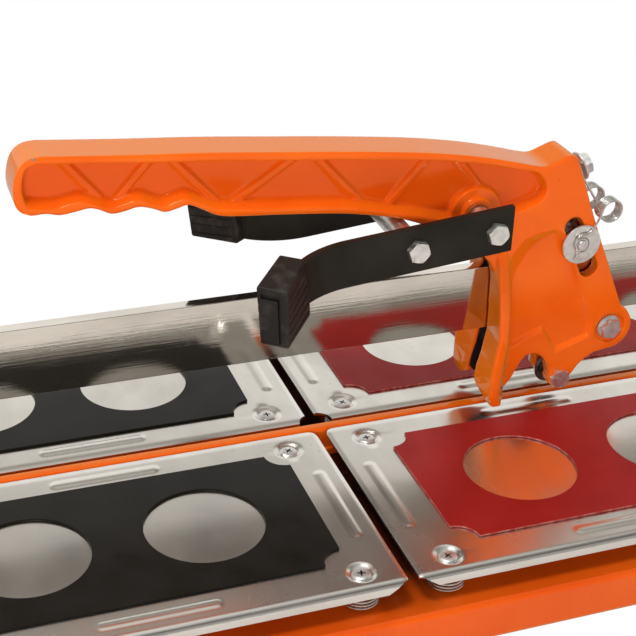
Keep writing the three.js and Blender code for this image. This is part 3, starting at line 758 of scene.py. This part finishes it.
cross_bolt("fulcrum_screw", FULCRUM, 10, 2.9, 6.2, 4.4, "carriage", "fulcrum_bolt", 7.3)
cross_bolt("wheel_screw", WHEEL, 12.2, 3, 6, 2.9, "head", "wheel_bolt")
cross_bolt("yoke_pivot_screw", PIVOT, 33.2, 3, 6, 3.9, "yoke", "yoke_pivot_bolt")
cross_bolt("yoke_stop_screw", STOP, 33.2, 3, 6, 3.9, "yoke", "yoke_stop_bolt")


def anchor_screw():
    ring = washer(8, 3.2, 2.6, 3.9, ANCHOR, ANCHOR_AXIS)
    shank = lathe([(3, -8.8), (3, 4.2)], ANCHOR, ANCHOR_AXIS, 32)
    head = hex_head(6, 3.9, 8.2, ANCHOR, ANCHOR_AXIS, dish=False)
    return joined("anchor_screw", ring, shank, head)


place(anchor_screw(), "anchor_screw", CHROME, "chrome_steel", "head", "anchor_bolt", angle=25)


def upper_axle():
    """The pin through the slot, riveted at both ends."""
    at = on_axis(PIN)
    rivet = [(2.9, 13.2), (2.9, 15), (2.6, 15.4), (1.2, 15.5)]
    far = lathe(rivet, at)
    near = lathe([(radius, -y) for radius, y in rivet], at)
    return joined("upper_axle", rod(3.95, -14.05, 14.05, at), near, far)


place(upper_axle(), "axle_pin", CHROME, "chrome_steel", "upper_axle", "upper_pin")
for word, side in ROWS:
    ring = washer(11.3, 4.4, side * 12.45, side * 14, on_axis(PIN), edge=0.35)
    place(ring, "axle_washer_" + word, CHROME, "chrome_steel", "upper_axle", "pin_washer_" + word)


def ball_bearing(at, outer, bore, half):
    """A shielded ball bearing: outer race, recessed shields and an inner race."""
    race = outer - 1.6
    inner = bore + 1.2
    c = 0.35
    profile = [(bore, -half + c), (bore + c, -half), (inner, -half), (inner, -half + 0.5),
               (race, -half + 0.5), (race, -half), (outer - c, -half), (outer, -half + c),
               (outer, half - c), (outer - c, half),
               (race, half), (race, half - 0.5), (inner, half - 0.5), (inner, half), (bore + c, half),
               (bore, half - c)]
    return lathe(profile, on_axis(at), sides=64, ring=True)


place(ball_bearing(PIN, 11, 4.3, 3.5), "rail_roller_top", BEARING, "bearing_steel", "upper_roller",
      "upper_roller")
place(ball_bearing(FULCRUM, 7.5, 3.2, 2.5), "rail_roller_bottom", BEARING, "bearing_steel", "lower_roller",
      "lower_roller")


def cutting_wheel():
    profile = [(3.4, -1.5), (5.6, -1.5), (5.9, -1.15), (7.9, -1.15), (9, -0.03), (9, 0.03), (7.9, 1.15),
               (5.9, 1.15), (5.6, 1.5), (3.4, 1.5)]
    return lathe(profile, on_axis(WHEEL), sides=72, ring=True)


place(cutting_wheel(), "cutting_wheel", CARBIDE, "carbide", "scoring_wheel", "scoring_wheel")
for word, side in ROWS:
    ring = washer(5.4, 3.4, side * 1.8, side * 4.1, on_axis(WHEEL))
    place(ring, "wheel_collar_" + word, BEARING, "bearing_steel", "head", "wheel_spacer_" + word)


# ---------------------------------------------------------------- torsion spring
COIL = Vector((161.2, 0, 165.0))
COIL_RADIUS = 6.2
SPRING_WIRE = 0.64


def torsion_path():
    """One wire: near leg, near coil, a bridge round the anchor screw's shank, far coil and far leg."""
    first, last, turns = 156, 180, 5
    sweep = first - last + 360 * turns
    outer_y, width = 13.4, 7.4
    steps = 150
    coil = []
    for i in range(steps + 1):
        a = math.radians(first - sweep * i / steps)
        x, z = COIL.x + COIL_RADIUS * math.cos(a), COIL.z + COIL_RADIUS * math.sin(a)
        coil.append((x, outer_y - width * i / steps, z))
    clear = 14.92  # |y| at which the leg passes outside the axle's washer
    hook = [(140.5, 139.4), (141.6, 141.4), (142, 143.4), (141, 145.8), (140.2, 148.8), (140.8, 152),
            (143.3, 154.1), (146.6, 154.5)]
    rise = [(149, 14.85, 155.8), (151.5, 14.65, 159.2), (153.9, 14.1, 163.6)]
    leg = curve([(x, clear, z) for x, z in hook] + rise, 4)
    face = Vector((-ANCHOR_AXIS.z, 0, ANCHOR_AXIS.x))
    seat = ANCHOR + ANCHOR_AXIS * 1.75
    loop = [coil[-1], coil[-1][:1] + (5, COIL.z + 4)]
    for across, up in ((4.6, -6.5), (4.05, -3), (3.9, 0), (2.75, 2.75), (0, 3.9)):
        spot = seat + face * up
        loop.append((spot.x, across, spot.z))
    half = leg + coil + curve(loop, 5)[1:]
    return [(x, -y, z) for x, y, z in half] + half[::-1][1:]


place(wire(torsion_path(), SPRING_WIRE, 10), "return_spring", SPRING, "spring_steel", "head",
      "torsion_spring", angle=60)


# ---------------------------------------------------------------- breaker yoke
ARM_END = corners("breaker_arm_front")[1].x
ARM_FACE = 33
ARM_THICK = 4
ARM_HEIGHT = 25
ARM_BEND = math.radians(51)
BEND_RADIUS = 42
PAD = middle("breaker_pad_rear")
PAD_SIZE = (30.9, 14.4, 32.6)
PAD_PITCH = -8  # degrees by which its outer end hangs lower
ARM_RISE = (PIVOT.z - STOP.z) / (PIVOT.x - STOP.x)


def arm_path():
    """The arm's middle line in plan: straight, an arc outward, and straight into its pad."""
    y = ARM_FACE - ARM_THICK / 2
    end = Vector((PAD.x + 3.1 * math.cos(ARM_BEND), PAD.y - 3.1 * math.sin(ARM_BEND)))
    rise = BEND_RADIUS * (1 - math.cos(ARM_BEND))
    straight = (end.y - y - rise) / math.sin(ARM_BEND)
    bend_end = end.x + straight * math.cos(ARM_BEND)
    bend_start = bend_end + BEND_RADIUS * math.sin(ARM_BEND)
    points = []
    for i in range(10):
        points.append((ARM_END + (bend_start - ARM_END) * i / 10, y))
    for i in range(21):
        a = ARM_BEND * i / 20
        points.append((bend_start - BEND_RADIUS * math.sin(a), y + BEND_RADIUS * (1 - math.cos(a))))
    points.append(tuple(end))
    return points


def breaker_arm(side):
    """A flat bar bent in plan, made as a strip of cross-sections with softened corners."""
    path = arm_path()
    half, tall, c = ARM_THICK / 2, ARM_HEIGHT / 2, 0.5
    section = [(-half, -tall + c), (-half + c, -tall), (half - c, -tall), (half, -tall + c), (half, tall - c),
               (half - c, tall), (-half + c, tall), (-half, tall - c)]
    sections = []
    for i, (x, y) in enumerate(path):
        before, after = path[max(0, i - 1)], path[min(len(path) - 1, i + 1)]
        ahead = Vector((after[0] - before[0], after[1] - before[1])).normalized()
        lift = PIVOT.z + ARM_RISE * (x - PIVOT.x)
        sections.append([(x - ahead.y * across, side * (y + ahead.x * across), lift + up)
                         for across, up in section])
    arm = loft(sections)
    cut(arm, rod(3.35, -50, 50, PIVOT), rod(3.35, -50, 50, STOP))
    return arm


def breaker_pad(side):
    """A moulded rubber boot with ribbed faces and a framed recess in its outer end."""
    length, width, height = PAD_SIZE
    end, wide, tall = length / 2, width / 2, height / 2
    outline = [(-end + 0.4, -tall), (end, -tall - 0.8), (end + 1.2, -tall + 8.2), (end - 4.6, tall + 2.4),
               (-end + 0.4, tall)]
    pad = bevelled(prism(outline, -wide, wide), 1.2, 3)
    grooves = []
    for i in range(6):
        z = tall - 5.2 - i * 4.9
        for face, stop in ((side, -end + 2.4), (-side, -end - 1)):
            outside, bottom = face * (wide + 1), face * (wide - 0.8)
            bite = [(outside, z - 1.1), (bottom, z - 0.3), (bottom, z + 0.3), (outside, z + 1.1)]
            grooves.append(prism(bite, stop, end - 2.4, "X"))
    cut(pad, *grooves)
    for vertex in pad.data.vertices:
        rise = vertex.co.z / (height * MM) + 0.5
        vertex.co.y *= 1 - (0.04 + 0.17 * vertex.co.x / (end * MM)) * rise

    def slab(deep, first, last, low, high):
        across = sorted((side * first, side * last))
        return block((-end - 1, across[0], low), (-end + deep, across[1], high))

    cut(pad, slab(2.2, -wide + 1.4, wide - 3.4, -tall + 1.6, tall - 3.2))
    plate = slab(4, -wide + 0.5, wide - 4.8, -tall + 1, tall - 6.4)
    plate.data.transform(Matrix.Translation((1.6 * MM, 0, 0)))
    fused(pad, bevelled(plate, 0.5, 2))
    cut(pad, block((2, -2.1, -ARM_HEIGHT / 2 - 0.1), (length, 2.1, ARM_HEIGHT / 2 + 0.1)))
    turn = Matrix.Rotation(-side * ARM_BEND, 4, "Z") @ Matrix.Rotation(math.radians(PAD_PITCH), 4, "Y")
    pad.data.transform(Matrix.Translation(Vector((PAD.x, side * PAD.y, PAD.z)) * MM) @ turn)
    return pad


for word, side in ROWS:
    place(breaker_arm(side), "arm_" + word, BLACK, "black_steel", "yoke", "breaker_arm_" + word, flats=True)
    place(breaker_pad(side), "pad_" + word, RUBBER, "black_rubber", "yoke", "breaker_pad_" + word, flats=True)


def yoke_tube(at):
    end = ARM_FACE - ARM_THICK - 0.3
    c = 0.4
    profile = [(3.6, -end), (5.75 - c, -end), (5.75, -end + c), (5.75, end - c), (5.75 - c, end), (3.6, end)]
    return lathe(profile, on_axis(at), sides=64, ring=True)


place(yoke_tube(PIVOT), "tube_pivot", CHROME, "chrome_steel", "yoke", "yoke_pivot_tube")
place(yoke_tube(STOP), "tube_stop", CHROME, "chrome_steel", "yoke", "yoke_stop_tube")


# ---------------------------------------------------------------- tables
TABLE_LOW, TABLE_HIGH = corners("table_rear_right")
TABLE_SHEET = 1.6
LIP_RADIUS = 3.6
SCREW_INSET = 19.6
SCREW_ROWS = (19.0, 127.6)
WINDOW_RADIUS, WINDOW_PITCH, WINDOWS = 30.0, 86.4, 4
SCALLOP = 11.0  # radius of a mat's corners
COIL_OUTSIDE, COIL_WIRE, COIL_TURNS = 9.55, 0.72, 7.4
RIDGE_NOTCH = ((1.5, 2.6), 9.7)  # centre in plan and radius, in the rear tables' corners by the ridge


def table_spots():
    """The four screws of the +x, +y table."""
    return [(x, y) for x in (TABLE_LOW.x + SCREW_INSET, TABLE_HIGH.x - SCREW_INSET) for y in SCREW_ROWS]


def bead_lines():
    """Raised beads as segments in plan: two across the ends and two pairs along the edges."""
    near, far = TABLE_LOW.x, TABLE_HIGH.x
    lines = []
    for x in (near + 11.2, far - 11.2):
        lines.append(((x, 45.5), (x, 98.5)))
    for y, first, last in ((15.5, 95.5, 146), (129, 93.5, 146.5)):
        lines.append(((first, y), (last, y)))
        lines.append(((near + far - last, y), (near + far - first, y)))
    return lines


def table_height(x, y):
    """How far the sheet stands above its own level: beads up, screw dimples down and edges rolled over."""
    height = 0.0
    for (xa, ya), (xb, yb) in bead_lines():
        away = math.hypot(x - min(max(x, xa), xb), y - min(max(y, ya), yb))
        if away < 4:
            height += 0.5 * (1 - ramp(away, 1.1, 3.6))
    for cx, cy in table_spots():
        away = math.hypot(x - cx, y - cy)
        if away < 8.2:
            height -= 1.5 * (1 - ramp(away, 5.0, 8.0))
    for away, fall in ((x - TABLE_LOW.x, 0.6), (TABLE_HIGH.x - x, 0.6), (y - TABLE_LOW.y, 0.2)):
        if away < 2.6:
            height -= fall * (1 - away / 2.6) ** 2
    return height


def spaced(stops):
    """Grid lines through (position, spacing) stops, each spacing holding up to the next stop."""
    lines = []
    for (start, step), (end, _) in zip(stops, stops[1:]):
        count = max(1, round((end - start) / step))
        lines += [start + (end - start) * i / count for i in range(count)]
    lines.append(stops[-1][0])
    return lines


def table(sx, sy):
    fine = 1.0
    near, far = TABLE_LOW.x, TABLE_HIGH.x
    quarter = [(near, 0.6 * fine), (near + 10, 0.95 * fine), (near + 28, 9), (88, 0.9 * fine), (98, 10),
               (142, 0.9 * fine), (152, 10), ((near + far) / 2, 10)]
    half = spaced(quarter)
    xs = half + [near + far - x for x in reversed(half[:-1])]
    inner = TABLE_LOW.y - 2.0  # the photographed tables come nearer the ridge than the CAD's
    bend = TABLE_HIGH.y - LIP_RADIUS
    arc_length = LIP_RADIUS * math.pi / 2
    drop = (TABLE_HIGH.z - LIP_RADIUS) - TABLE_LOW.z
    outer = bend + arc_length + drop
    ys = spaced([(inner, 0.65 * fine), (inner + 3, 0.95 * fine), (27, 5), (41, 1.0 * fine), (50, 9),
                 (94, 1.0 * fine), (103, 6), (119, 0.95 * fine), (136, 0.9), (bend + arc_length, 0.6),
                 (outer, 1)])
    corner_in = 6.0
    corner_out = 7.0  # depth of the slanting cut across the lip's corner
    low_z = TABLE_HIGH.z - TABLE_SHEET
    verts, faces = [], []
    for sheet in (0, TABLE_SHEET):
        for x in xs:
            away = min(x - near, far - x)
            inside = corner_in - math.sqrt(max(0, corner_in ** 2 - max(0, corner_in - away) ** 2))
            outside = max(0, corner_out - away * 0.7)
            for s in ys:
                share = (s - inner) / (outer - inner)
                pull = inside * max(0, 1 - share * 4) - outside * max(0, share * 4 - 3)
                t = s + pull
                if t <= bend:
                    y, z = t, TABLE_HIGH.z - sheet + table_height(x, t)
                else:
                    a = min((t - bend) / LIP_RADIUS, math.pi / 2)
                    rest = max(0, t - bend - arc_length)
                    radius = LIP_RADIUS - sheet
                    y = bend + radius * math.sin(a)
                    roll = table_height(x, bend)
                    z = TABLE_HIGH.z - LIP_RADIUS + radius * math.cos(a) - rest + roll
                verts.append((sx * x, sy * y, z))
    across = len(ys)
    layer = len(xs) * across
    for i in range(len(xs) - 1):
        for j in range(across - 1):
            a, b = i * across + j, (i + 1) * across + j
            faces.append((a, a + 1, b + 1, b))
            faces.append((layer + a, layer + b, layer + b + 1, layer + a + 1))
    last = (len(xs) - 1) * across
    for j in range(across - 1):
        faces.append((j, layer + j, layer + j + 1, j + 1))
        faces.append((last + j, last + j + 1, layer + last + j + 1, layer + last + j))
    for i in range(len(xs) - 1):
        a, b = i * across, (i + 1) * across
        faces.append((a, b, layer + b, layer + a))
        faces.append((a + across - 1, layer + a + across - 1, layer + b + across - 1, b + across - 1))
    body = build("table", verts, faces)
    holes = [lathe([(3.3, 44), (3.3, 52)], (sx * x, sy * y, 0), (0, 0, 1), 24) for x, y in table_spots()]
    if sy > 0:
        (x, y), radius = RIDGE_NOTCH
        holes.append(lathe([(radius, 44), (radius, 52)], (x, y, 0), (0, 0, 1), 40))
    return cut(body, *holes)


def mat(node):
    """A rubber sheet with scalloped corners and four round windows."""
    low, high = corners(node)
    outline = []
    for x, y, start in ((low.x, low.y, 90), (high.x, low.y, 180), (high.x, high.y, 270), (low.x, high.y, 0)):
        outline += arc(x, y, SCALLOP, start, start - 90, 16)
    sheet = prism(outline, low.z, high.z, "Z")
    first = (low.x + high.x) / 2 - WINDOW_PITCH * (WINDOWS - 1) / 2
    profile = [(WINDOW_RADIUS, low.z - 1), (WINDOW_RADIUS, high.z + 1)]
    for i in range(WINDOWS):
        cut(sheet, lathe(profile, (first + WINDOW_PITCH * i, (low.y + high.y) / 2, 0), (0, 0, 1), 96))
    return bevelled(sheet, 0.28, 2, 40)


def coil_spring(x, y, low, high, radius, thick, turns):
    """A compression spring with closed ends."""
    low, high = low + thick, high - thick
    path = []
    steps = int(turns * (26))
    for i in range(steps + 1):
        share = i / steps
        rise = ramp(share, 0.0, 1.0) * 0.12 + share * 0.88
        a = 2 * math.pi * turns * share
        mid = radius - thick
        path.append((x + mid * math.cos(a), y + mid * math.sin(a), low + (high - low) * rise))
    return wire(path, thick, 8)


def cross_screw(x, y, top, shank_low):
    """A raised-head screw with a cross recess."""
    dome = [(2.4, shank_low), (2.4, top - 2.6), (5.0, top - 2.6), (5.1, top - 1.9), (4.9, top - 1.15),
            (4.3, top - 0.5), (3.4, top - 0.16), (2.4, top - 0.05), (1.2, top)]
    body = lathe(dome, (x, y, 0), (0, 0, 1), 48)
    lean = math.radians((x * 7 + y * 13) % 90)
    for turn in (lean, lean + math.pi / 2):
        bar = block((-2.0, -0.42, top - 1.9), (2.0, 0.42, top + 1))
        bar.data.transform(Matrix.Translation(Vector((x, y, 0)) * MM) @ Matrix.Rotation(turn, 4, "Z"))
        cut(body, bar)
    return body


for row, sy in ROWS:
    for end, sx in ENDS:
        corner = row + "_" + end
        body = "table_" + corner
        sheet = table(sx, sy)
        place(sheet, "sheet_" + corner, TABLE_STEEL, "table_steel", body, "table_" + corner, angle=50)
        shade, color = (BLACK_MAT, "black_mat") if sx < 0 else (RED_MAT, "red_mat")
        place(mat("mat_" + corner), "cushion_" + corner, shade, color, body, "mat_" + corner, flats=True)
        for i, (x, y) in enumerate(table_spots()):
            number = "_" + str(i + 1)
            node = "spring_" + corner + number
            low, high = corners(node)
            coil = coil_spring(sx * x, sy * y, low.z, high.z, COIL_OUTSIDE, COIL_WIRE, COIL_TURNS)
            place(coil, "coil_" + corner + number, TABLE_SPRING, "spring_steel", "base", node, angle=60)
            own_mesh(coil)
            screw = cross_screw(sx * x, sy * y, TABLE_HIGH.z - 0.35, BASE_HIGH.z - 1)
            place(screw, "screw_" + corner + number, SCREW_STEEL, "chrome_steel", "base", angle=30)


# ---------------------------------------------------------------- base, ridge, rail and posts
def base_tray():
    low, high = BASE_LOW, BASE_HIGH
    sheet, flange = 2.0, 36.0
    shell = bevelled(block(low, high), 3.2, 4)
    inner = block((low.x + sheet, low.y + sheet, low.z + sheet),
                  (high.x - sheet, high.y - sheet, high.z - sheet))
    mouth = block((low.x + sheet, low.y + flange, low.z - 1),
                  (high.x - sheet, high.y - flange, low.z + sheet + 1))
    return cut(shell, bevelled(inner, 1.6, 3), mouth)


place(base_tray(), "tray", TRAY_SHADED_ORANGE, "orange_paint", "base", "base_tray", flats=True)


def ridge():
    low, high = corners("breaker_ridge")
    half = 3.7
    crown = arc(half - 2.2, high.z - 2.2, 2.2, 0, 90, 6)
    right = [(5.6, low.z), (5.6, low.z + 3.4), (5.2, low.z + 3.7), (half, low.z + 3.7)] + crown
    section = right + [(-x, z) for x, z in reversed(right)]
    return prism(section, low.x, high.x, "X")


place(ridge(), "ridge", ORANGE, "orange_paint", "base", "breaker_ridge", angle=40, flats=True)


def rail_bar():
    bar = bevelled(block(RAIL_LOW, RAIL_HIGH), 0.55, 2)
    for word, _ in ENDS:
        cut(bar, rod(3.9, -9, 9, middle("rail_bolt_" + word)))
    return bar


place(rail_bar(), "rail_bar", RAIL_STEEL, "polished_steel", "base", "rail", flats=True)


def rail_post(word, side):
    low, high = corners("rail_post_" + word)
    x0, x1 = sorted((side * 452, side * 494))
    foot_plate = bevelled(block((low.x, low.y, low.z), (high.x, high.y, low.z + 5.7)), 1.6, 3)
    column = bevelled(block((x0, -15, low.z + 2), (x1, 15, high.z)), 2.6, 4)
    post = fused(foot_plate, column)
    for edge in (-1, 1):
        gusset = [(edge * 15, low.z + 5), (edge * 27, low.z + 5), (edge * 15, low.z + 24)]
        fused(post, prism(gusset, x0 + 18, x0 + 24, "X"))
    slot_half = RAIL_HIGH.y + 0.3
    cut(post, block((low.x - 2, -slot_half, RAIL_LOW.z - 0.3), (high.x + 2, slot_half, high.z + 5)))
    centre = middle("rail_bolt_" + word)
    cut(post, rod(3.9, -20, 20, centre))
    return post


def rail_bolt(word):
    at = on_axis(middle("rail_bolt_" + word))
    parts = [rod(3.6, -16, 16, at, 32)]
    parts.append(hex_head(7, -15.3, -20.2, at))
    parts.append(hex_head(7, 15.3, 21, at, dish=False, turn=37))
    parts.append(washer(8.6, 3.7, -15.25, -16.3, at))
    parts.append(washer(8.6, 3.7, 15.25, 16.3, at))
    parts.append(threaded(3.4, 15, 23, at))
    return joined("rail_bolt", *parts)


for word, side in ENDS:
    post = rail_post(word, side)
    place(post, "post_" + word, ORANGE, "orange_paint", "base", "rail_post_" + word, flats=True)
    bolt = rail_bolt(word)
    place(bolt, "clamp_bolt_" + word, CHROME, "chrome_steel", "base", "rail_bolt_" + word, angle=25)
    for place_word, _ in ROWS:
        node = "foot_" + place_word + "_" + word
        low, high = corners(node)
        at = ((low.x + high.x) / 2, (low.y + high.y) / 2, 0)
        profile = [(4, 0.9), (9.4, 0.9), (10.2, 0), (11.4, 0), (12.6, 1), (13, 2.4), (12.4, 3), (12.4, 3.6),
                   (13, 4.2), (13, high.z - 0.5), (12.5, high.z)]
        place(lathe(profile, at, (0, 0, 1), 56), "rubber_" + node, RUBBER, "black_rubber", "base", node)


# ---------------------------------------------------------------- fence, side stop and knob
def fence():
    """An extruded rule: two upright bars on a foot, with plain engraved divisions."""
    low, high = corners("fence")
    x = low.x
    parts = []
    for side in (-1, 1):
        y0, y1 = sorted((side * 21, side * 132))
        bar = bevelled(block((x, y0, 42.6), (x + 3, y1, high.z)), 0.5, 2)
        ticks = []
        for i in range(20):
            y = side * (26 + i * 5)
            reach = 6 if i % 2 == 0 else 3.6
            ticks.append(block((x - 1, y - 0.22, high.z - 1.2 - reach), (x + 0.25, y + 0.22, high.z - 1.2)))
        parts.append(cut(bar, joined("ticks", *ticks)))
        r0, r1 = sorted((side * 33.4, side * 132))
        parts.append(bevelled(block((x, r0, low.z), (x + 12, r1, low.z + 2.7)), 0.5, 2))
        parts.append(block((x + 0.2, r0 + side * 0.2, low.z + 1), (x + 2.8, r1 - side * 0.2, 43.4)))
    body = parts[0]
    fused(body, *parts[1:])
    fused(body, block((x + 0.1, -34, 42.8), (x + 2.9, 34, 48.4)))
    return body


def side_stop():
    low, high = corners("side_stop")
    fence_x = corners("fence")[0].x
    y0, y1 = low.y, high.y
    body = bevelled(block((fence_x - 5, y0, low.z), (high.x, y1, high.z)), 1.2, 3)
    cut(body, block((fence_x - 0.3, y0 - 1, 0), (fence_x + 3.3, y1 + 1, corners("fence")[1].z + 0.3)))
    fused(body, bevelled(block((low.x, y0, low.z), (fence_x - 4, y0 + 4, high.z - 5)), 0.9, 3))
    knob_low, knob_high = corners("stop_knob")
    z = (knob_low.z + knob_high.z) / 2
    y = (knob_low.y + knob_high.y) / 2
    cut(body, lathe([(3.3, fence_x + 3.8), (3.3, fence_x + 22)], (0, y, z), (1, 0, 0), 32))
    return body


def stop_knob():
    """A knurled knob on a threaded stud along +X."""
    low, high = corners("stop_knob")
    y, z = (low.y + high.y) / 2, (low.z + high.z) / 2
    seat = corners("side_stop")[1].x + 0.3
    radius = (high.z - low.z) / 2
    sections = []
    sides = 96
    knurls = 24
    rows = ((5.9, 0), (5.9, 4), (radius - 1.2, 4.6), (radius, 5.8), (radius, 11.6), (radius - 1.3, 13.4),
            (radius - 3.2, 14), (1.5, 14))
    for rim, along in rows:
        section = []
        for i in range(sides):
            a = 2 * math.pi * i / sides
            bite = 0.5 * (0.5 + 0.5 * math.cos(a * knurls)) if rim > radius - 1 else 0
            section.append((seat + along, y + (rim - bite) * math.cos(a), z + (rim - bite) * math.sin(a)))
        sections.append(section)
    grip = loft(sections)
    stud = threaded(3, seat - 9, seat + 1, (0, y, z), (1, 0, 0))
    return joined("knob", grip, stud)


place(fence(), "rule", ALUMINIUM, "aluminium", "base", "fence", flats=True)
place(side_stop(), "stop_block", BLACK, "black_steel", "side_stop", "side_stop", flats=True)
place(stop_knob(), "knob", RUBBER, "black_rubber", "stop_knob", "stop_knob", angle=40)


# ---------------------------------------------------------------- floor, light and camera
def backdrop():
    """A pale floor that stays white to the eye and throws back most of its light."""
    reach = 9000
    spots = [(-reach, -reach, 0), (reach, -reach, 0), (reach, reach, 0), (-reach, reach, 0)]
    floor_mesh = build("floor", spots, [(0, 1, 2, 3)])
    look = Look("paper", (0.78, 0.77, 0.75), 0.85, specular=0.1)
    look.link(look.blend(look.noise(3, 2), (0.76, 0.75, 0.73), (0.8, 0.79, 0.77)), "Base Color")
    white = look.tree.nodes.new("ShaderNodeEmission")
    seen = look.tree.nodes.new("ShaderNodeLightPath").outputs["Is Camera Ray"]
    mix = look.tree.nodes.new("ShaderNodeMixShader")
    look.tree.links.new(seen, mix.inputs[0])
    look.tree.links.new(look.shader.outputs[0], mix.inputs[1])
    look.tree.links.new(white.outputs[0], mix.inputs[2])
    look.tree.links.new(mix.outputs[0], look.tree.nodes["Material Output"].inputs["Surface"])
    floor_mesh.data.materials.append(look.material)
    floor_mesh.name = "floor"
    return floor_mesh


def lamp(name, at, target, size, power, mirrored=True):
    data = bpy.data.lights.new(name, "AREA")
    data.shape = "RECTANGLE"
    data.size, data.size_y = size[0] * MM, size[1] * MM
    data.energy = power
    obj = bpy.data.objects.new(name, data)
    bpy.context.scene.collection.objects.link(obj)
    obj.location = Vector(at) * MM
    obj.rotation_euler = (Vector(target) - Vector(at)).to_track_quat("-Z", "Y").to_euler()
    obj.visible_glossy = mirrored
    return obj


def world():
    """A bright room with a dim band above the horizon, and dimmer towards the camera than behind the tool."""
    sky = bpy.data.worlds.new("studio")
    bpy.context.scene.world = sky
    sky.use_nodes = True
    tree = sky.node_tree
    background = tree.nodes["Background"]
    coords = tree.nodes.new("ShaderNodeTexCoord")
    parts = tree.nodes.new("ShaderNodeSeparateXYZ")
    ramp_node = tree.nodes.new("ShaderNodeValToRGB")
    tree.links.new(coords.outputs["Generated"], parts.inputs[0])
    tree.links.new(parts.outputs["Z"], ramp_node.inputs["Fac"])
    stops = ((0.0, 0.9), (0.52, 1.0), (0.555, 0.8), (0.6, 0.32), (0.7, 0.26), (0.79, 0.38), (0.95, 0.85))
    elements = ramp_node.color_ramp.elements
    while len(elements) < len(stops):
        elements.new(0.5)
    for element, (position, level) in zip(elements, stops):
        element.position = position
        warm = 1 - level
        element.color = (level, level * (0.99 - 0.06 * warm), level * (0.97 - 0.15 * warm), 1)
    tree.links.new(ramp_node.outputs["Color"], background.inputs["Color"])
    rear = tree.nodes.new("ShaderNodeMapRange")
    rear.inputs["From Min"].default_value = -0.3
    rear.inputs["From Max"].default_value = 0.35
    rear.inputs["To Min"].default_value = 0.4
    rear.inputs["To Max"].default_value = 1.0
    tree.links.new(parts.outputs["Y"], rear.inputs["Value"])
    tree.links.new(rear.outputs["Result"], background.inputs["Strength"])


CAMERA_AT = (-234.63, -627.14, 478.09)
CAMERA_SWING = math.radians(20.4306)  # from +Y towards +X
CAMERA_DROP = math.radians(28.3064)  # below level
CAMERA_ROLL = math.radians(1.9203)


def camera():
    """The photograph's own point of view."""
    right = Vector((math.cos(CAMERA_SWING), -math.sin(CAMERA_SWING), 0))
    level = Vector((math.sin(CAMERA_SWING), math.cos(CAMERA_SWING), 0))
    ahead = level * math.cos(CAMERA_DROP) - Vector((0, 0, math.sin(CAMERA_DROP)))
    data = bpy.data.cameras.new("view")
    data.sensor_width = 36
    data.lens = 81.53
    data.clip_end = 50
    obj = bpy.data.objects.new("view", data)
    bpy.context.scene.collection.objects.link(obj)
    turn = Matrix((right, right.cross(ahead), -ahead)).transposed().to_4x4()
    roll = Matrix.Rotation(CAMERA_ROLL, 4, "Z")
    obj.matrix_world = Matrix.Translation(Vector(CAMERA_AT) * MM) @ turn @ roll
    bpy.context.scene.camera = obj
    return obj


backdrop()
lamp("key", (-520, -380, 1600), (0, 0, 80), (460, 340), 13)
lamp("fill", (-420, -1500, 480), (0, 0, 90), (1100, 420), 14, mirrored=False)
world()
camera()
bpy.context.scene.view_settings.view_transform = "Standard"
